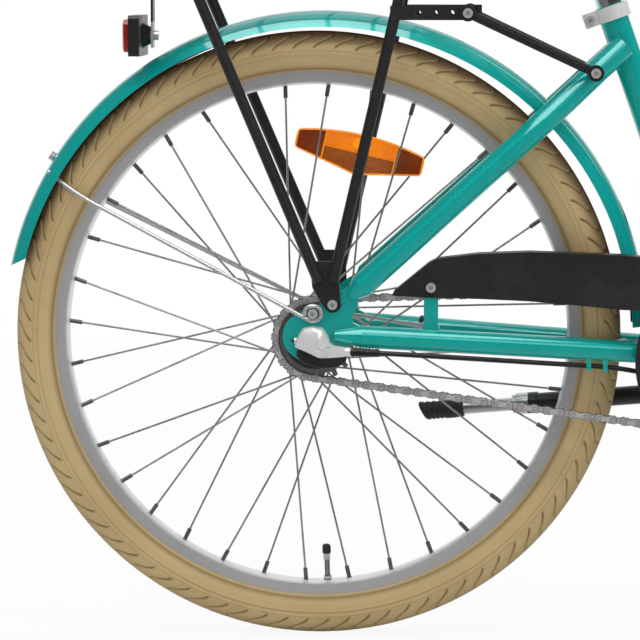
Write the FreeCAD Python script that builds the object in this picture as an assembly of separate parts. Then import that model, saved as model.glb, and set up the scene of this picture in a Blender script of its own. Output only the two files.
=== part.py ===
import FreeCAD, Part
import math
import os
from FreeCAD import Vector

# Beach cruiser bicycle with 24 inch wheels, a three-speed coaster hub, mudguards and a rear carrier.
# Millimetres and degrees. +X is forward, +Y is the rider's left, +Z is up, and the ground is z = 0.
# The origin is on the ground, below the middle of the overall length.

# Wheels
tyre_width = 47.0
tyre_seat_depth = 9.0
tyre_wall = 3.2
tube_wall = 1.2
rim_outer_radius = 262.0
rim_depth = 14.5
rim_width = 27.0
rim_wall = 2.0
spoke_count = 36
spoke_crosses = 3
spoke_diameter = 2.0
nipple_diameter = 4.2
nipple_length = 12.0
nipple_phase = -2.6
valve_diameter = 7.0
valve_length = 36.0
reflector_length = 129.0
reflector_height = 34.0
reflector_thickness = 9.4
reflector_drop = 61.5

# Hubs
rear_axle_diameter = 10.0
rear_hub_spacing = 120.0
rear_flange_circle = 62.0
rear_flange_spacing = 56.0
rear_shell_diameter = 44.0
front_axle_diameter = 9.0
front_hub_spacing = 100.0
front_flange_circle = 38.0
front_flange_spacing = 66.0
front_shell_diameter = 26.0
flange_thickness = 3.0
flange_margin = 4.5
dust_cap_diameter = 58.0

# Drive
chain_pitch = 12.7
chainring_teeth = 36
sprocket_teeth = 19
roller_diameter = 7.7
chain_inner_width = 3.5
plate_thickness = 1.3
plate_height = 8.4
pin_diameter = 3.5
tooth_width = 2.8
chain_line = 46.0
crank_length = 152.0
crank_angle = -80.0
pedal_length = 92.0
pedal_width = 86.0
pedal_thickness = 26.0

# Frame
bottom_bracket_drop = 20.0
bottom_bracket_width = 70.0
bottom_bracket_diameter = 41.0
seat_tube_angle = 70.6
seat_tube_length = 366.0
seat_tube_diameter = 28.6
seat_tube_wall = 1.5
head_tube_angle = 69.0
head_tube_length = 125.0
head_tube_diameter = 36.0
head_tube_wall = 3.0
down_tube_diameter = 38.0
upper_tube_diameter = 31.8
frame_tube_wall = 1.8
chainstay_diameter = 22.0
seatstay_diameter = 24.0
stay_wall = 1.8
stay_tip_length = 26.0
stay_tip_radius = 5.0
dropout_thickness = 6.0
chainstay_room = 80.0
front_room = 282.362
fork_rake = 48.0
fork_blade_diameter = 24.0
fork_end_thickness = 5.0
steerer_diameter = 25.4
steerer_wall = 1.6

# Mudguards
fender_gap = 20.0
fender_width = 56.0
fender_depth = 16.0
fender_wall = 1.2
rear_fender_shift = 7.0
rear_fender_front_angle = 2.0
rear_fender_rear_angle = 168.0
front_fender_front_angle = 52.0
front_fender_rear_angle = 196.0
fender_stay_diameter = 4.2

# Carrier
rack_tube_diameter = 11.0
rack_gap = 21.0
rack_front = 88.0
rack_rear = -176.0
rack_half_width = 64.0
rack_foot_half_width = 71.0
rack_slat_width = 34.0
rack_slat_thickness = 3.0
rack_arm_diameter = 9.0

# Chain guard
guard_wall = 2.0
guard_lip = 20.0
guard_disc_radius = 95.0
guard_crank_hole_radius = 34.0

# Saddle, handlebar, stand
seat_post_diameter = 25.4
seat_post_length = 252.0
seat_post_insert = 180.0
saddle_length = 265.0
saddle_width = 215.0
saddle_height = 58.0
spring_wire = 4.6
spring_diameter = 36.0
spring_height = 58.0
spring_turns = 4.0
handlebar_diameter = 22.2
handlebar_half_width = 306.0
handlebar_rise = 92.0
handlebar_sweep = 195.0
stem_rise = 104.0
stem_reach = 62.0
grip_diameter = 32.0
grip_length = 128.0
twist_sleeve_length = 52.0
cable_diameter = 5.0
stand_leg_length = 272.0
stand_leg_diameter = 15.0
stand_foot_length = 42.0

# Clearances
fit_gap = 0.15
running_gap = 0.3
bolt_diameter = 5.0
bolt_head_diameter = 9.5
bolt_head_height = 4.5
bolt_socket = 4.0
hole_gap = 0.2

# Places worked out from the driving sizes
wheel_radius = rim_outer_radius + tyre_width - tyre_seat_depth
tyre_radius = tyre_width / 2
tyre_centre = wheel_radius - tyre_radius
rim_inner_radius = rim_outer_radius - rim_depth
reflector_radius = rim_inner_radius - reflector_drop
fender_radius = wheel_radius + fender_gap
rack_height = fender_radius + rack_gap
sprocket_pitch_radius = chain_pitch / 2 / math.sin(math.pi / sprocket_teeth)
chainring_pitch_radius = chain_pitch / 2 / math.sin(math.pi / chainring_teeth)
dropout_inner = rear_hub_spacing / 2
dropout_outer = dropout_inner + dropout_thickness
stay_rear_y = dropout_inner + dropout_thickness / 2 + 1.0
fewest_links = 2 * (fender_radius + rear_fender_shift + chainstay_room) / chain_pitch
chain_links = 2 * math.ceil((fewest_links + (chainring_teeth + sprocket_teeth) / 2) / 2)


def chain_centres():
    # Centre distance at which the closed chain has exactly its number of links.
    def links(distance):
        lean = math.asin((chainring_pitch_radius - sprocket_pitch_radius) / distance)
        straight = 2 * distance * math.cos(lean) / chain_pitch
        wrapped = chainring_teeth * (math.pi + 2 * lean) + sprocket_teeth * (math.pi - 2 * lean)
        return straight + wrapped / (2 * math.pi)

    low = chainring_pitch_radius + sprocket_pitch_radius
    high = chain_links * chain_pitch
    for _ in range(60):
        middle = (low + high) / 2
        if links(middle) < chain_links:
            low = middle
        else:
            high = middle
    return low


chainstay_length = chain_centres()
crank_x = math.sqrt(chainstay_length ** 2 - bottom_bracket_drop ** 2)
wheelbase = crank_x + fender_radius + front_room
rear_reach = fender_radius * math.cos(math.radians(180 - rear_fender_rear_angle)) - rear_fender_shift
rear_x = (max(rear_reach, wheel_radius) - wheelbase - wheel_radius) / 2
front_x = rear_x + wheelbase


def cos(angle):
    return math.cos(math.radians(angle))


def sin(angle):
    return math.sin(math.radians(angle))


def rear(x, y, z):
    # A point given from the middle of the rear axle.
    return Vector(rear_x + x, y, wheel_radius + z)


def front(x, y, z):
    # A point given from the middle of the front axle.
    return Vector(front_x + x, y, wheel_radius + z)


def crank(x, y, z):
    # A point given from the middle of the bottom bracket.
    return rear(crank_x + x, y, z - bottom_bracket_drop)


def seat(along, y=0.0, forward=0.0):
    # A point on the seat tube's line, measured up from the bottom bracket, and forward square to it.
    x = -along * cos(seat_tube_angle) + forward * sin(seat_tube_angle)
    z = along * sin(seat_tube_angle) + forward * cos(seat_tube_angle)
    return crank(x, y, z)


def steer(along, y=0.0, forward=0.0):
    # A point on the steering axis, measured up from the level of the front axle, and forward square to it.
    ahead = forward - fork_rake
    x = -along * cos(head_tube_angle) + ahead * sin(head_tube_angle)
    z = along * sin(head_tube_angle) + ahead * cos(head_tube_angle)
    return front(x, y, z)


steer_axis = Vector(-cos(head_tube_angle), 0, sin(head_tube_angle))
seat_axis = Vector(-cos(seat_tube_angle), 0, sin(seat_tube_angle))
left = Vector(0, 1, 0)
up = Vector(0, 0, 1)


# Building blocks

def cylinder(start, end, radius):
    axis = end.sub(start)
    return Part.makeCylinder(radius, axis.Length, start, axis)


def pipe(start, end, radius, bore):
    return cylinder(start, end, radius).cut(cylinder(start, end, bore))


def cross_bar(centre, y_start, y_end, radius):
    # A round bar along Y, at the x and z of a point.
    start = Vector(centre.x, y_start, centre.z)
    return cylinder(start, Vector(centre.x, y_end, centre.z), radius)


def arc_edge(start, middle, end):
    return Part.Arc(start, middle, end).toShape()


def line_edge(start, end):
    return Part.LineSegment(start, end).toShape()


def bent_wire(points, radii):
    # Straight runs between the points, joined by tangent arcs of the given radii.
    edges = []
    here = points[0]
    for corner, ahead, radius in zip(points[1:-1], points[2:], radii):
        back = here.sub(corner).normalize()
        on = ahead.sub(corner).normalize()
        half = math.acos(max(-1.0, min(1.0, back.dot(on)))) / 2
        reach = radius / math.tan(half)
        inward = back.add(on).normalize()
        first = corner.add(back.multiply(reach))
        last = corner.add(on.multiply(reach))
        top = corner.add(inward.multiply(radius / math.sin(half) - radius))
        edges.append(line_edge(here, first))
        edges.append(arc_edge(first, top, last))
        here = last
    edges.append(line_edge(here, points[-1]))
    return Part.Wire(edges)


def sweep(wire, radius):
    # A round bar along a wire.
    edge = wire.OrderedEdges[0]
    start = wire.OrderedVertexes[0].Point
    at_start = edge.valueAt(edge.FirstParameter).distanceToPoint(start) < 1e-6
    heading = edge.tangentAt(edge.FirstParameter if at_start else edge.LastParameter)
    section = Part.Wire([Part.makeCircle(radius, start, heading)])
    return wire.makePipeShell([section], True, False)


def bent_tube(points, radii, radius, bore):
    wire = bent_wire(points, radii)
    return sweep(wire, radius).cut(sweep(wire, bore))


def ring_face(edges):
    return Part.Face(Part.Wire(edges))


def polygon_edges(points):
    return [line_edge(a, b) for a, b in zip(points, points[1:])]


def turned(profile, centre):
    # A solid turned about an axle along Y, from (radius, y) corners.
    corners = [Vector(r, y, 0) for r, y in profile]
    face = ring_face(polygon_edges(corners + corners[:1]))
    solid = face.revolve(Vector(0, 0, 0), left, 360)
    solid.translate(centre)
    return solid


def plate_outline(edges, y_start, y_end):
    # A flat plate from an outline in the XZ plane, between two values of y.
    face = ring_face(edges)
    face.translate(Vector(0, y_start, 0))
    return face.extrude(Vector(0, y_end - y_start, 0))


def box_between(low, high):
    size = high.sub(low)
    return Part.makeBox(size.x, size.y, size.z, low)


def spin(shape, centre, angle):
    # A copy turned about an axle along Y. Positive turns +Z towards +X.
    copy = shape.copy()
    copy.rotate(centre, left, angle)
    return copy


def mirrored(shape):
    # The same piece on the other side of the bicycle.
    return shape.mirror(Vector(0, 0, 0), left)


def wheel_point(radius, angle, y):
    # A point by its angle from straight down, positive towards the front.
    return Vector(radius * sin(angle), y, -radius * cos(angle))


def hex_prism(centre, axis, across, height):
    # A hexagonal bar standing on a point along an axis.
    corner = across / math.sqrt(3)
    points = [Vector(corner * cos(60 * k), corner * sin(60 * k), 0) for k in range(7)]
    prism = ring_face(polygon_edges(points)).extrude(Vector(0, 0, height))
    prism.Placement = FreeCAD.Placement(centre, FreeCAD.Rotation(up, axis))
    return prism


def bolt(seat_point, outward, shank):
    # A socket-head bolt whose head rests on a point, with its shank going in against the outward axis.
    out = Vector(outward).normalize()
    head = Part.makeCylinder(bolt_head_diameter / 2, bolt_head_height, seat_point, out)
    socket_floor = seat_point.add(Vector(out).multiply(bolt_head_height / 2))
    head = head.cut(hex_prism(socket_floor, out, bolt_socket, bolt_head_height))
    start = seat_point.sub(Vector(out).multiply(shank))
    return head.fuse(Part.makeCylinder(bolt_diameter / 2, shank, start, out)).removeSplitter()


def bolt_hole(seat_point, outward, depth):
    out = Vector(outward).normalize()
    start = seat_point.sub(Vector(out).multiply(depth))
    return Part.makeCylinder(bolt_diameter / 2 + hole_gap, 2 * depth, start, out)


# Wheels

def tyre():
    # A horseshoe section: tread, side walls that neck in over the rim's edges, and beads between its walls.
    bead_y = rim_width / 2 - rim_wall - fit_gap
    shoulder_r = rim_outer_radius + 2.0
    shoulder_y = math.sqrt(tyre_radius ** 2 - (tyre_centre - shoulder_r) ** 2)
    inner_radius = tyre_radius - tyre_wall
    inner_r = rim_outer_radius + 4.0
    inner_y = math.sqrt(inner_radius ** 2 - (tyre_centre - inner_r) ** 2)
    bead_wall = 2.6
    bead_r = rim_inner_radius + 7.0
    neck_r = rim_outer_radius + fit_gap

    def side(sign):
        return [
            Vector(shoulder_r, sign * shoulder_y, 0),
            Vector(neck_r, sign * (bead_y + rim_wall), 0),
            Vector(neck_r, sign * bead_y, 0),
            Vector(bead_r, sign * bead_y, 0),
            Vector(bead_r, sign * (bead_y - bead_wall), 0),
            Vector(neck_r, sign * (bead_y - bead_wall), 0),
            Vector(inner_r, sign * inner_y, 0),
        ]

    near, far = side(-1), side(1)
    edges = [arc_edge(near[0], Vector(wheel_radius, 0, 0), far[0])]
    edges += polygon_edges(far)
    edges.append(arc_edge(far[-1], Vector(tyre_centre + inner_radius, 0, 0), near[-1]))
    edges += polygon_edges(near[::-1])
    return ring_face(edges).revolve(Vector(0, 0, 0), left, 360)


def air_ring(radius, low_r, floor_r, floor_y):
    # A ring that fills the inside of the tyre.
    low_y = math.sqrt(radius ** 2 - (tyre_centre - low_r) ** 2)
    neck_r = low_r - 5.0
    corners = [
        Vector(low_r, low_y, 0), Vector(neck_r, floor_y, 0), Vector(floor_r, floor_y, 0),
        Vector(floor_r, -floor_y, 0), Vector(neck_r, -floor_y, 0), Vector(low_r, -low_y, 0),
    ]
    edges = polygon_edges(corners)
    edges.append(arc_edge(corners[-1], Vector(tyre_centre + radius, 0, 0), corners[0]))
    return ring_face(edges).revolve(Vector(0, 0, 0), left, 360)


def inner_tube():
    # The air tube lines the tyre, and its valve stands inwards through the rim.
    radius = tyre_radius - tyre_wall - running_gap
    low_r = rim_outer_radius + 5.0
    floor_r = rim_inner_radius + 5.2
    floor_y = rim_width / 2 - rim_wall - 4.0
    wall = tube_wall
    ring = air_ring(radius, low_r, floor_r, floor_y)
    ring = ring.cut(air_ring(radius - wall, low_r + wall / 2, floor_r + wall, floor_y - wall))
    angle = nipple_phase + 180.0 / spoke_count
    foot = wheel_point(floor_r + wall / 2, angle, 0)
    shoulder = wheel_point(rim_inner_radius - valve_length * 0.3, angle, 0)
    tip = wheel_point(rim_inner_radius - valve_length, angle, 0)
    valve = cylinder(foot, shoulder, valve_diameter / 2)
    valve = valve.fuse(cylinder(foot, tip, valve_diameter / 2 - 0.6))
    cap_foot = wheel_point(rim_inner_radius - valve_length * 0.62, angle, 0)
    cap = cylinder(cap_foot, tip, valve_diameter / 2 + 0.4)
    return ring.fuse([valve, cap])


def bare_rim():
    # A channel section with two braking walls and a bed that is bowed towards the hub.
    half = rim_width / 2
    shoulder = rim_inner_radius + 2.6
    bed = rim_inner_radius + 2.6
    profile = [
        (rim_inner_radius, -half * 0.5), (shoulder, -half), (rim_outer_radius, -half),
        (rim_outer_radius, -half + rim_wall), (shoulder + 2.0, -half + rim_wall), (bed, -half * 0.45),
        (bed, half * 0.45), (shoulder + 2.0, half - rim_wall), (rim_outer_radius, half - rim_wall),
        (rim_outer_radius, half), (shoulder, half), (rim_inner_radius, half * 0.5),
    ]
    return turned(profile, Vector(0, 0, 0))


class Lacing:
    # How one wheel's spokes run from the hub's flanges to the rim.
    def __init__(self, flange_circle, flange_spacing):
        self.flange_radius = flange_circle / 2
        self.flange_y = flange_spacing / 2
        self.step = 720.0 / spoke_count
        self.reach = spoke_crosses * self.step
        self.rim_y = 2.2
        self.stand_off = flange_thickness / 2 + spoke_diameter / 2 + 1.3

    def ends(self, side, leading, turn):
        # The elbow beside the flange and the point on the rim's bed, for one spoke of a side.
        rim_angle = nipple_phase + turn * 2 * self.step + (leading + (side > 0) / 2) * self.step
        hub_angle = rim_angle + (self.reach if leading else -self.reach)
        face = 1 if leading else -1
        elbow = wheel_point(self.flange_radius, hub_angle, side * (self.flange_y + face * self.stand_off))
        return elbow, wheel_point(rim_inner_radius, rim_angle, side * self.rim_y), face * side

    def every(self):
        for side in (-1, 1):
            for leading in (0, 1):
                for turn in range(spoke_count // 4):
                    yield self.ends(side, leading, turn)

    def spoke(self, elbow, bed_point, face):
        # The wire, its elbow and head through the flange, and the nipple at the rim.
        radius = spoke_diameter / 2
        heading = bed_point.sub(elbow).normalize()
        neck = bed_point.sub(Vector(heading).multiply(nipple_length))
        tip = bed_point.add(Vector(heading).multiply(4.0))
        through = Vector(
            elbow.x, elbow.y - face * (self.stand_off + flange_thickness / 2 + running_gap), elbow.z
        )
        head_end = Vector(through.x, through.y - face * 0.9, through.z)
        pieces = [
            Part.makeSphere(radius * 1.15, elbow),
            cylinder(elbow, through, radius),
            cylinder(through, head_end, radius * 1.9),
            cylinder(neck, tip, nipple_diameter / 2),
        ]
        return cylinder(elbow, neck, radius).fuse(pieces)

    def spokes(self):
        # One spoke of each kind is built, and its copies are turned about the axle.
        made = []
        for side in (-1, 1):
            for leading in (0, 1):
                first = self.spoke(*self.ends(side, leading, 0))
                made += [
                    spin(first, Vector(0, 0, 0), -turn * 2 * self.step)
                    for turn in range(spoke_count // 4)
                ]
        return made

    def rim_holes(self):
        for elbow, bed_point, _ in self.every():
            heading = bed_point.sub(elbow).normalize()
            start = bed_point.sub(Vector(heading).multiply(nipple_length / 2))
            yield Part.makeCylinder(nipple_diameter / 2 + hole_gap, nipple_length, start, heading)

    def flange_holes(self):
        for elbow, _, face in self.every():
            reach = 2 * flange_thickness + spoke_diameter
            start = Vector(elbow.x, elbow.y - face * reach, elbow.z)
            yield cylinder(start, Vector(elbow.x, elbow.y + face, elbow.z), spoke_diameter / 2 + hole_gap)


def rim(lacing):
    angle = nipple_phase + 180.0 / spoke_count
    inside = wheel_point(rim_inner_radius - rim_depth, angle, 0)
    valve_hole = cylinder(inside, wheel_point(rim_outer_radius, angle, 0), valve_diameter / 2 + hole_gap)
    return bare_rim().cut(list(lacing.rim_holes()) + [valve_hole])


def hub_shell(lacing, body_diameter, left_end, right_end, nose_diameter, bore):
    # A barrel with two spoke flanges, turned about its axle.
    body = body_diameter / 2
    nose = nose_diameter / 2
    flange = lacing.flange_radius + flange_margin
    root = lacing.flange_radius - flange_margin
    outer = lacing.flange_y + flange_thickness / 2
    inner = lacing.flange_y - flange_thickness / 2
    profile = [
        (bore, -right_end), (nose, -right_end), (nose, -outer), (flange, -outer), (flange, -inner), (root, -inner),
        (body, -inner + 4.0), (body, inner - 4.0), (root, inner), (flange, inner), (flange, outer), (nose, outer),
        (nose, left_end), (bore, left_end),
    ]
    return turned(profile, Vector(0, 0, 0)).cut(list(lacing.flange_holes()))


def wheel_reflector():
    # A boat-shaped reflector with chamfered ends, lying between the two fans of spokes.
    half = reflector_length / 2
    low, high = -reflector_height * 0.55, reflector_height * 0.45
    outline = [
        (-half, high * 0.55), (-half * 0.9, high), (half * 0.9, high), (half, high * 0.55),
        (half * 0.94, low * 0.35), (half * 0.42, low), (-half * 0.42, low), (-half * 0.94, low * 0.35),
    ]
    points = [Vector(x, 0, z) for x, z in outline]
    edges = polygon_edges(points + points[:1])
    body = plate_outline(edges, -reflector_thickness / 2, reflector_thickness / 2)
    body.translate(Vector(0, 0, reflector_radius))
    return body


def wheel(lacing, centre, reflector_turn):
    # The pieces that every wheel has, at their place on the axle.
    pieces = {
        "tyre": [tyre()],
        "inner_tube": [inner_tube()],
        "rim": [rim(lacing)],
        "spokes": lacing.spokes(),
        "wheel_reflector": [spin(wheel_reflector(), Vector(0, 0, 0), reflector_turn)],
    }
    for shapes in pieces.values():
        for shape in shapes:
            shape.translate(centre)
    return pieces


# Chain, sprocket and chainring

def chain_joints():
    # Every pin's place along the closed path, with x and z from the rear axle.
    distance = chainstay_length
    tilt = math.degrees(math.asin(-bottom_bracket_drop / distance))
    lean = math.degrees(math.asin((chainring_pitch_radius - sprocket_pitch_radius) / distance))
    run = distance * cos(lean) / chain_pitch
    ring_turns = (180 + 2 * lean) / 360 * chainring_teeth
    sprocket_turns = (180 - 2 * lean) / 360 * sprocket_teeth

    def place(count):
        # Over the top to the front, round the chainring, back underneath and round the sprocket.
        top = 90 + tilt + lean
        if count < run:
            return (
                sprocket_pitch_radius * cos(top) + count * chain_pitch * cos(tilt + lean),
                sprocket_pitch_radius * sin(top) + count * chain_pitch * sin(tilt + lean),
            )
        count -= run
        if count < ring_turns:
            angle = top - count * 360 / chainring_teeth
            return (
                crank_x + chainring_pitch_radius * cos(angle),
                -bottom_bracket_drop + chainring_pitch_radius * sin(angle),
            )
        count -= ring_turns
        bottom = -90 + tilt - lean
        if count < run:
            back = distance * cos(lean) - count * chain_pitch
            return (
                sprocket_pitch_radius * cos(bottom) + back * cos(tilt - lean),
                sprocket_pitch_radius * sin(bottom) + back * sin(tilt - lean),
            )
        count -= run
        angle = bottom - count * 360 / sprocket_teeth
        return sprocket_pitch_radius * cos(angle), sprocket_pitch_radius * sin(angle)

    return [place(k + 0.5) for k in range(chain_links)], run, ring_turns, sprocket_turns


def link_plate(y_start, y_end, height):
    # A side plate with round ends and a drawn-in waist.
    end = height / 2
    waist = end * 0.66
    x, z = end * cos(55), end * sin(55)
    pitch = chain_pitch
    edges = [
        arc_edge(Vector(x, 0, -z), Vector(-end, 0, 0), Vector(x, 0, z)),
        arc_edge(Vector(x, 0, z), Vector(pitch / 2, 0, waist), Vector(pitch - x, 0, z)),
        arc_edge(Vector(pitch - x, 0, z), Vector(pitch + end, 0, 0), Vector(pitch - x, 0, -z)),
        arc_edge(Vector(pitch - x, 0, -z), Vector(pitch / 2, 0, -waist), Vector(x, 0, -z)),
    ]
    return plate_outline(edges, y_start, y_end)


def inner_link():
    inner = chain_inner_width / 2
    plates = [link_plate(s * inner, s * (inner + plate_thickness), plate_height) for s in (-1, 1)]
    ends = [Vector(0, 0, 0), Vector(chain_pitch, 0, 0)]
    rollers = [cross_bar(e, -inner, inner, roller_diameter / 2) for e in ends]
    bores = [cross_bar(e, -2 * plate_height, 2 * plate_height, pin_diameter / 2 + fit_gap) for e in ends]
    return plates[0].fuse([plates[1]] + rollers).cut(bores)


def outer_link():
    inner = chain_inner_width / 2 + plate_thickness + fit_gap
    plates = [link_plate(s * inner, s * (inner + plate_thickness), plate_height * 0.95) for s in (-1, 1)]
    reach = inner + plate_thickness + 0.6
    pins = [cross_bar(Vector(x, 0, 0), -reach, reach, pin_diameter / 2) for x in (0, chain_pitch)]
    return plates[0].fuse([plates[1]] + pins)


def chain():
    kinds = [inner_link(), outer_link()]
    joints = chain_joints()[0]
    links = []
    for k, (x, z) in enumerate(joints):
        ahead_x, ahead_z = joints[(k + 1) % chain_links]
        link = kinds[k % 2].copy()
        slope = math.degrees(math.atan2(ahead_z - z, ahead_x - x))
        link.rotate(Vector(0, 0, 0), left, -slope)
        link.translate(rear(x, -chain_line, z))
        links.append(link)
    return links


def toothed_disc(teeth, phase_point):
    # A sprocket plate whose tooth gaps hold the chain's rollers, with one gap towards a point.
    pitch_radius = chain_pitch / 2 / math.sin(math.pi / teeth)
    tip_radius = pitch_radius + 3.4
    gap_radius = roller_diameter / 2 + fit_gap
    phase = math.degrees(math.atan2(phase_point[1], phase_point[0]))
    blank = cross_bar(Vector(0, 0, 0), -tooth_width / 2, tooth_width / 2, tip_radius)
    seat_cut = cross_bar(Vector(pitch_radius, 0, 0), -tooth_width, tooth_width, gap_radius)
    mouth = chain_pitch / 2 - 0.6
    corners = [
        Vector(pitch_radius, 0, -gap_radius), Vector(tip_radius + 1, 0, -mouth),
        Vector(tip_radius + 1, 0, mouth), Vector(pitch_radius, 0, gap_radius),
    ]
    flare = plate_outline(polygon_edges(corners + corners[:1]), -tooth_width, tooth_width)
    gap = seat_cut.fuse(flare)
    gaps = [spin(gap, Vector(0, 0, 0), -phase - k * 360.0 / teeth) for k in range(teeth)]
    return blank.cut(gaps)


def rear_sprocket():
    # The toothed ring on the hub's driver, which turns on the axle beside the hub shell.
    joints, run, ring_turns, _ = chain_joints()
    on_sprocket = joints[math.ceil(2 * run + ring_turns)]
    disc = toothed_disc(sprocket_teeth, on_sprocket)
    inboard = chain_line - rear_flange_spacing / 2 - flange_thickness / 2 - 8.5
    driver = cross_bar(Vector(0, 0, 0), -tooth_width / 2 - 3.5, inboard, 19.0)
    bore = cross_bar(Vector(0, 0, 0), -chain_line, chain_line, rear_axle_diameter / 2 + running_gap)
    slots = []
    for k in range(6):
        slot = cross_bar(Vector(27.0, 0, 0), -tooth_width, tooth_width, 4.2)
        slots.append(spin(slot, Vector(0, 0, 0), k * 60))
    solid = disc.cut(slots).fuse(driver).cut(bore)
    solid.translate(rear(0, -chain_line, 0))
    return solid


def chainring():
    # The front toothed ring, opened out between five arms.
    joints, run, _, _ = chain_joints()
    x, z = joints[math.ceil(run)]
    disc = toothed_disc(chainring_teeth, (x - crank_x, z + bottom_bracket_drop))
    middle = (chainring_pitch_radius + 18.0) / 2
    windows = []
    for k in range(5):
        window = cross_bar(Vector(middle, 0, 0), -tooth_width, tooth_width, chainring_pitch_radius * 0.22)
        windows.append(spin(window, Vector(0, 0, 0), k * 72 - crank_angle))
    bore = cross_bar(Vector(0, 0, 0), -tooth_width, tooth_width, crank_boss_radius)
    solid = disc.cut(windows + [bore])
    solid.translate(crank(0, -chain_line, 0))
    return solid


# Cranks and pedals
crank_boss_radius = 16.0
crank_arm_inner = chain_line + 16.0
crank_arm_thickness = 13.0
pedal_axle_radius = 7.0
pedal_middle = crank_arm_inner + crank_arm_thickness + 6.0 + pedal_width / 2


def pedal_centre(side):
    turn = crank_angle if side < 0 else crank_angle + 180
    return crank(crank_length * cos(turn), side * pedal_middle, crank_length * sin(turn))


def crank_arm(side):
    # A tapering forged arm with a boss at each end and the pedal's axle screwed into it.
    turn = crank_angle if side < 0 else crank_angle + 180
    inner, outer = side * crank_arm_inner, side * (crank_arm_inner + crank_arm_thickness)
    end = Vector(crank_length, 0, 0)
    wide, narrow = crank_boss_radius * 0.8, 9.5
    corners = [
        Vector(0, 0, -wide), Vector(crank_length, 0, -narrow), Vector(crank_length, 0, narrow),
        Vector(0, 0, wide)
    ]
    arm = plate_outline(polygon_edges(corners + corners[:1]), inner, outer)
    boss_start = side * (chain_line - tooth_width / 2) if side < 0 else side * (bottom_bracket_width / 2 + 6)
    pieces = [
        cross_bar(Vector(0, 0, 0), boss_start, outer, crank_boss_radius - (fit_gap if side < 0 else 0)),
        cross_bar(end, inner, outer, 12.5),
        cross_bar(end, inner, side * (pedal_middle + pedal_width / 2 - 9.0), pedal_axle_radius),
    ]
    arm = arm.fuse(pieces)
    arm = arm.cut(cross_bar(Vector(0, 0, 0), -2 * pedal_middle, 2 * pedal_middle, spindle_radius + fit_gap))
    arm.rotate(Vector(0, 0, 0), left, -turn)
    arm.translate(crank(0, 0, 0))
    return arm


spindle_radius = 8.0


def crank_spindle():
    reach = crank_arm_inner + crank_arm_thickness - 3.0
    return cross_bar(crank(0, 0, 0), -reach, reach, spindle_radius)


def pedal(side):
    # A platform of two ribbed blocks on a barrel, with a reflector in each edge.
    centre = pedal_centre(side)
    half_l, half_w, half_t = pedal_length / 2, pedal_width / 2, pedal_thickness / 2
    inner = -half_w + 2.0
    barrel = cross_bar(Vector(0, 0, 0), inner, half_w - 5.0, 11.0)
    block_depth = 22.0
    pieces = []
    for end in (-1, 1):
        x_low, x_high = sorted((end * half_l, end * (half_l - block_depth)))
        block = box_between(Vector(x_low, -half_w, -half_t), Vector(x_high, half_w, half_t))
        block = block.makeFillet(3.0, block.Edges)
        grooves = []
        for k in range(-2, 3):
            y = k * pedal_width / 5.4
            for face in (-1, 1):
                z_low, z_high = sorted((face * half_t, face * (half_t - 2.0)))
                grooves.append(
                    box_between(
                        Vector(x_low - 1, y - 2.5, z_low - 0.5), Vector(x_high + 1, y + 2.5, z_high + 0.5)
                    )
                )
        window = box_between(
            Vector(end * half_l - 2.0, -half_w * 0.6, -half_t * 0.55),
            Vector(end * half_l + 2.0, half_w * 0.6, half_t * 0.55))
        pieces.append(block.cut(grooves + [window]))
    for y in (inner + 5.0, half_w - 13.0):
        pieces.append(box_between(Vector(-half_l + 10, y - 4.0, -7.0), Vector(half_l - 10, y + 4.0, 7.0)))
    body = barrel.fuse(pieces)
    body = body.cut(
        cross_bar(Vector(0, 0, 0), -pedal_width, half_w - 9.0 + 1.0, pedal_axle_radius + running_gap)
    )
    if side < 0:
        body = mirrored(body)
    body.translate(centre)
    return body


# Frame
stay_start = rear(46, stay_rear_y, 4)
stay_bridge_x = rear_fender_shift + fender_radius + 17.0
head_low = fender_radius + 35.0
head_high = head_low + head_tube_length
crown_top = head_low - 10.0
seatstay_joint = 324.0
upper_tube_joint = 190.0
bracket_solid = cross_bar(
    crank(0, 0, 0), -bottom_bracket_width / 2, bottom_bracket_width / 2, bottom_bracket_diameter / 2
)
cup_room = cross_bar(crank(0, 0, 0), -bottom_bracket_width, bottom_bracket_width, bottom_bracket_diameter / 2)
seat_solid = cylinder(seat(0), seat(seat_tube_length), seat_tube_diameter / 2)
head_solid = cylinder(steer(head_low), steer(head_high), head_tube_diameter / 2)


def bottom_bracket_shell():
    bore = bottom_bracket_diameter / 2 - 3.0
    return bracket_solid.cut(cross_bar(crank(0, 0, 0), -bottom_bracket_width, bottom_bracket_width, bore))


def seat_tube():
    bore = seat_tube_diameter / 2 - seat_tube_wall
    return pipe(seat(0), seat(seat_tube_length), seat_tube_diameter / 2, bore).cut(bracket_solid)


def head_tube():
    return pipe(
        steer(head_low), steer(head_high), head_tube_diameter / 2, head_tube_diameter / 2 - head_tube_wall
    )


def down_tube_line():
    return [steer(head_low + 41), rear(crank_x + 247, 0, 108), crank(0, 0, 0)]


def down_tube():
    # The lower of the two swept tubes between the head and the bottom bracket.
    radius = down_tube_diameter / 2
    tube = bent_tube(down_tube_line(), [600.0], radius, radius - frame_tube_wall)
    return tube.cut([head_solid, bracket_solid, seat_solid])


def upper_tube():
    # The upper swept tube, low enough in the middle to step through.
    radius = upper_tube_diameter / 2
    line = [steer(head_high - 24), rear(crank_x + 192, 0, 222), seat(upper_tube_joint)]
    tube = bent_tube(line, [500.0], radius, radius - frame_tube_wall)
    return tube.cut([head_solid, seat_solid])


def stay_tip(start, heading, radius, length=stay_tip_length):
    # The end of a stay, drawn down to meet the dropout.
    out = Vector(heading).normalize().multiply(-1)
    return Part.makeCone(radius, stay_tip_radius, length, start, out)


def chainstay_line(side):
    start = Vector(stay_start.x, side * stay_start.y, stay_start.z)
    return start, crank(0, side * 22.0, 2.0)


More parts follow.
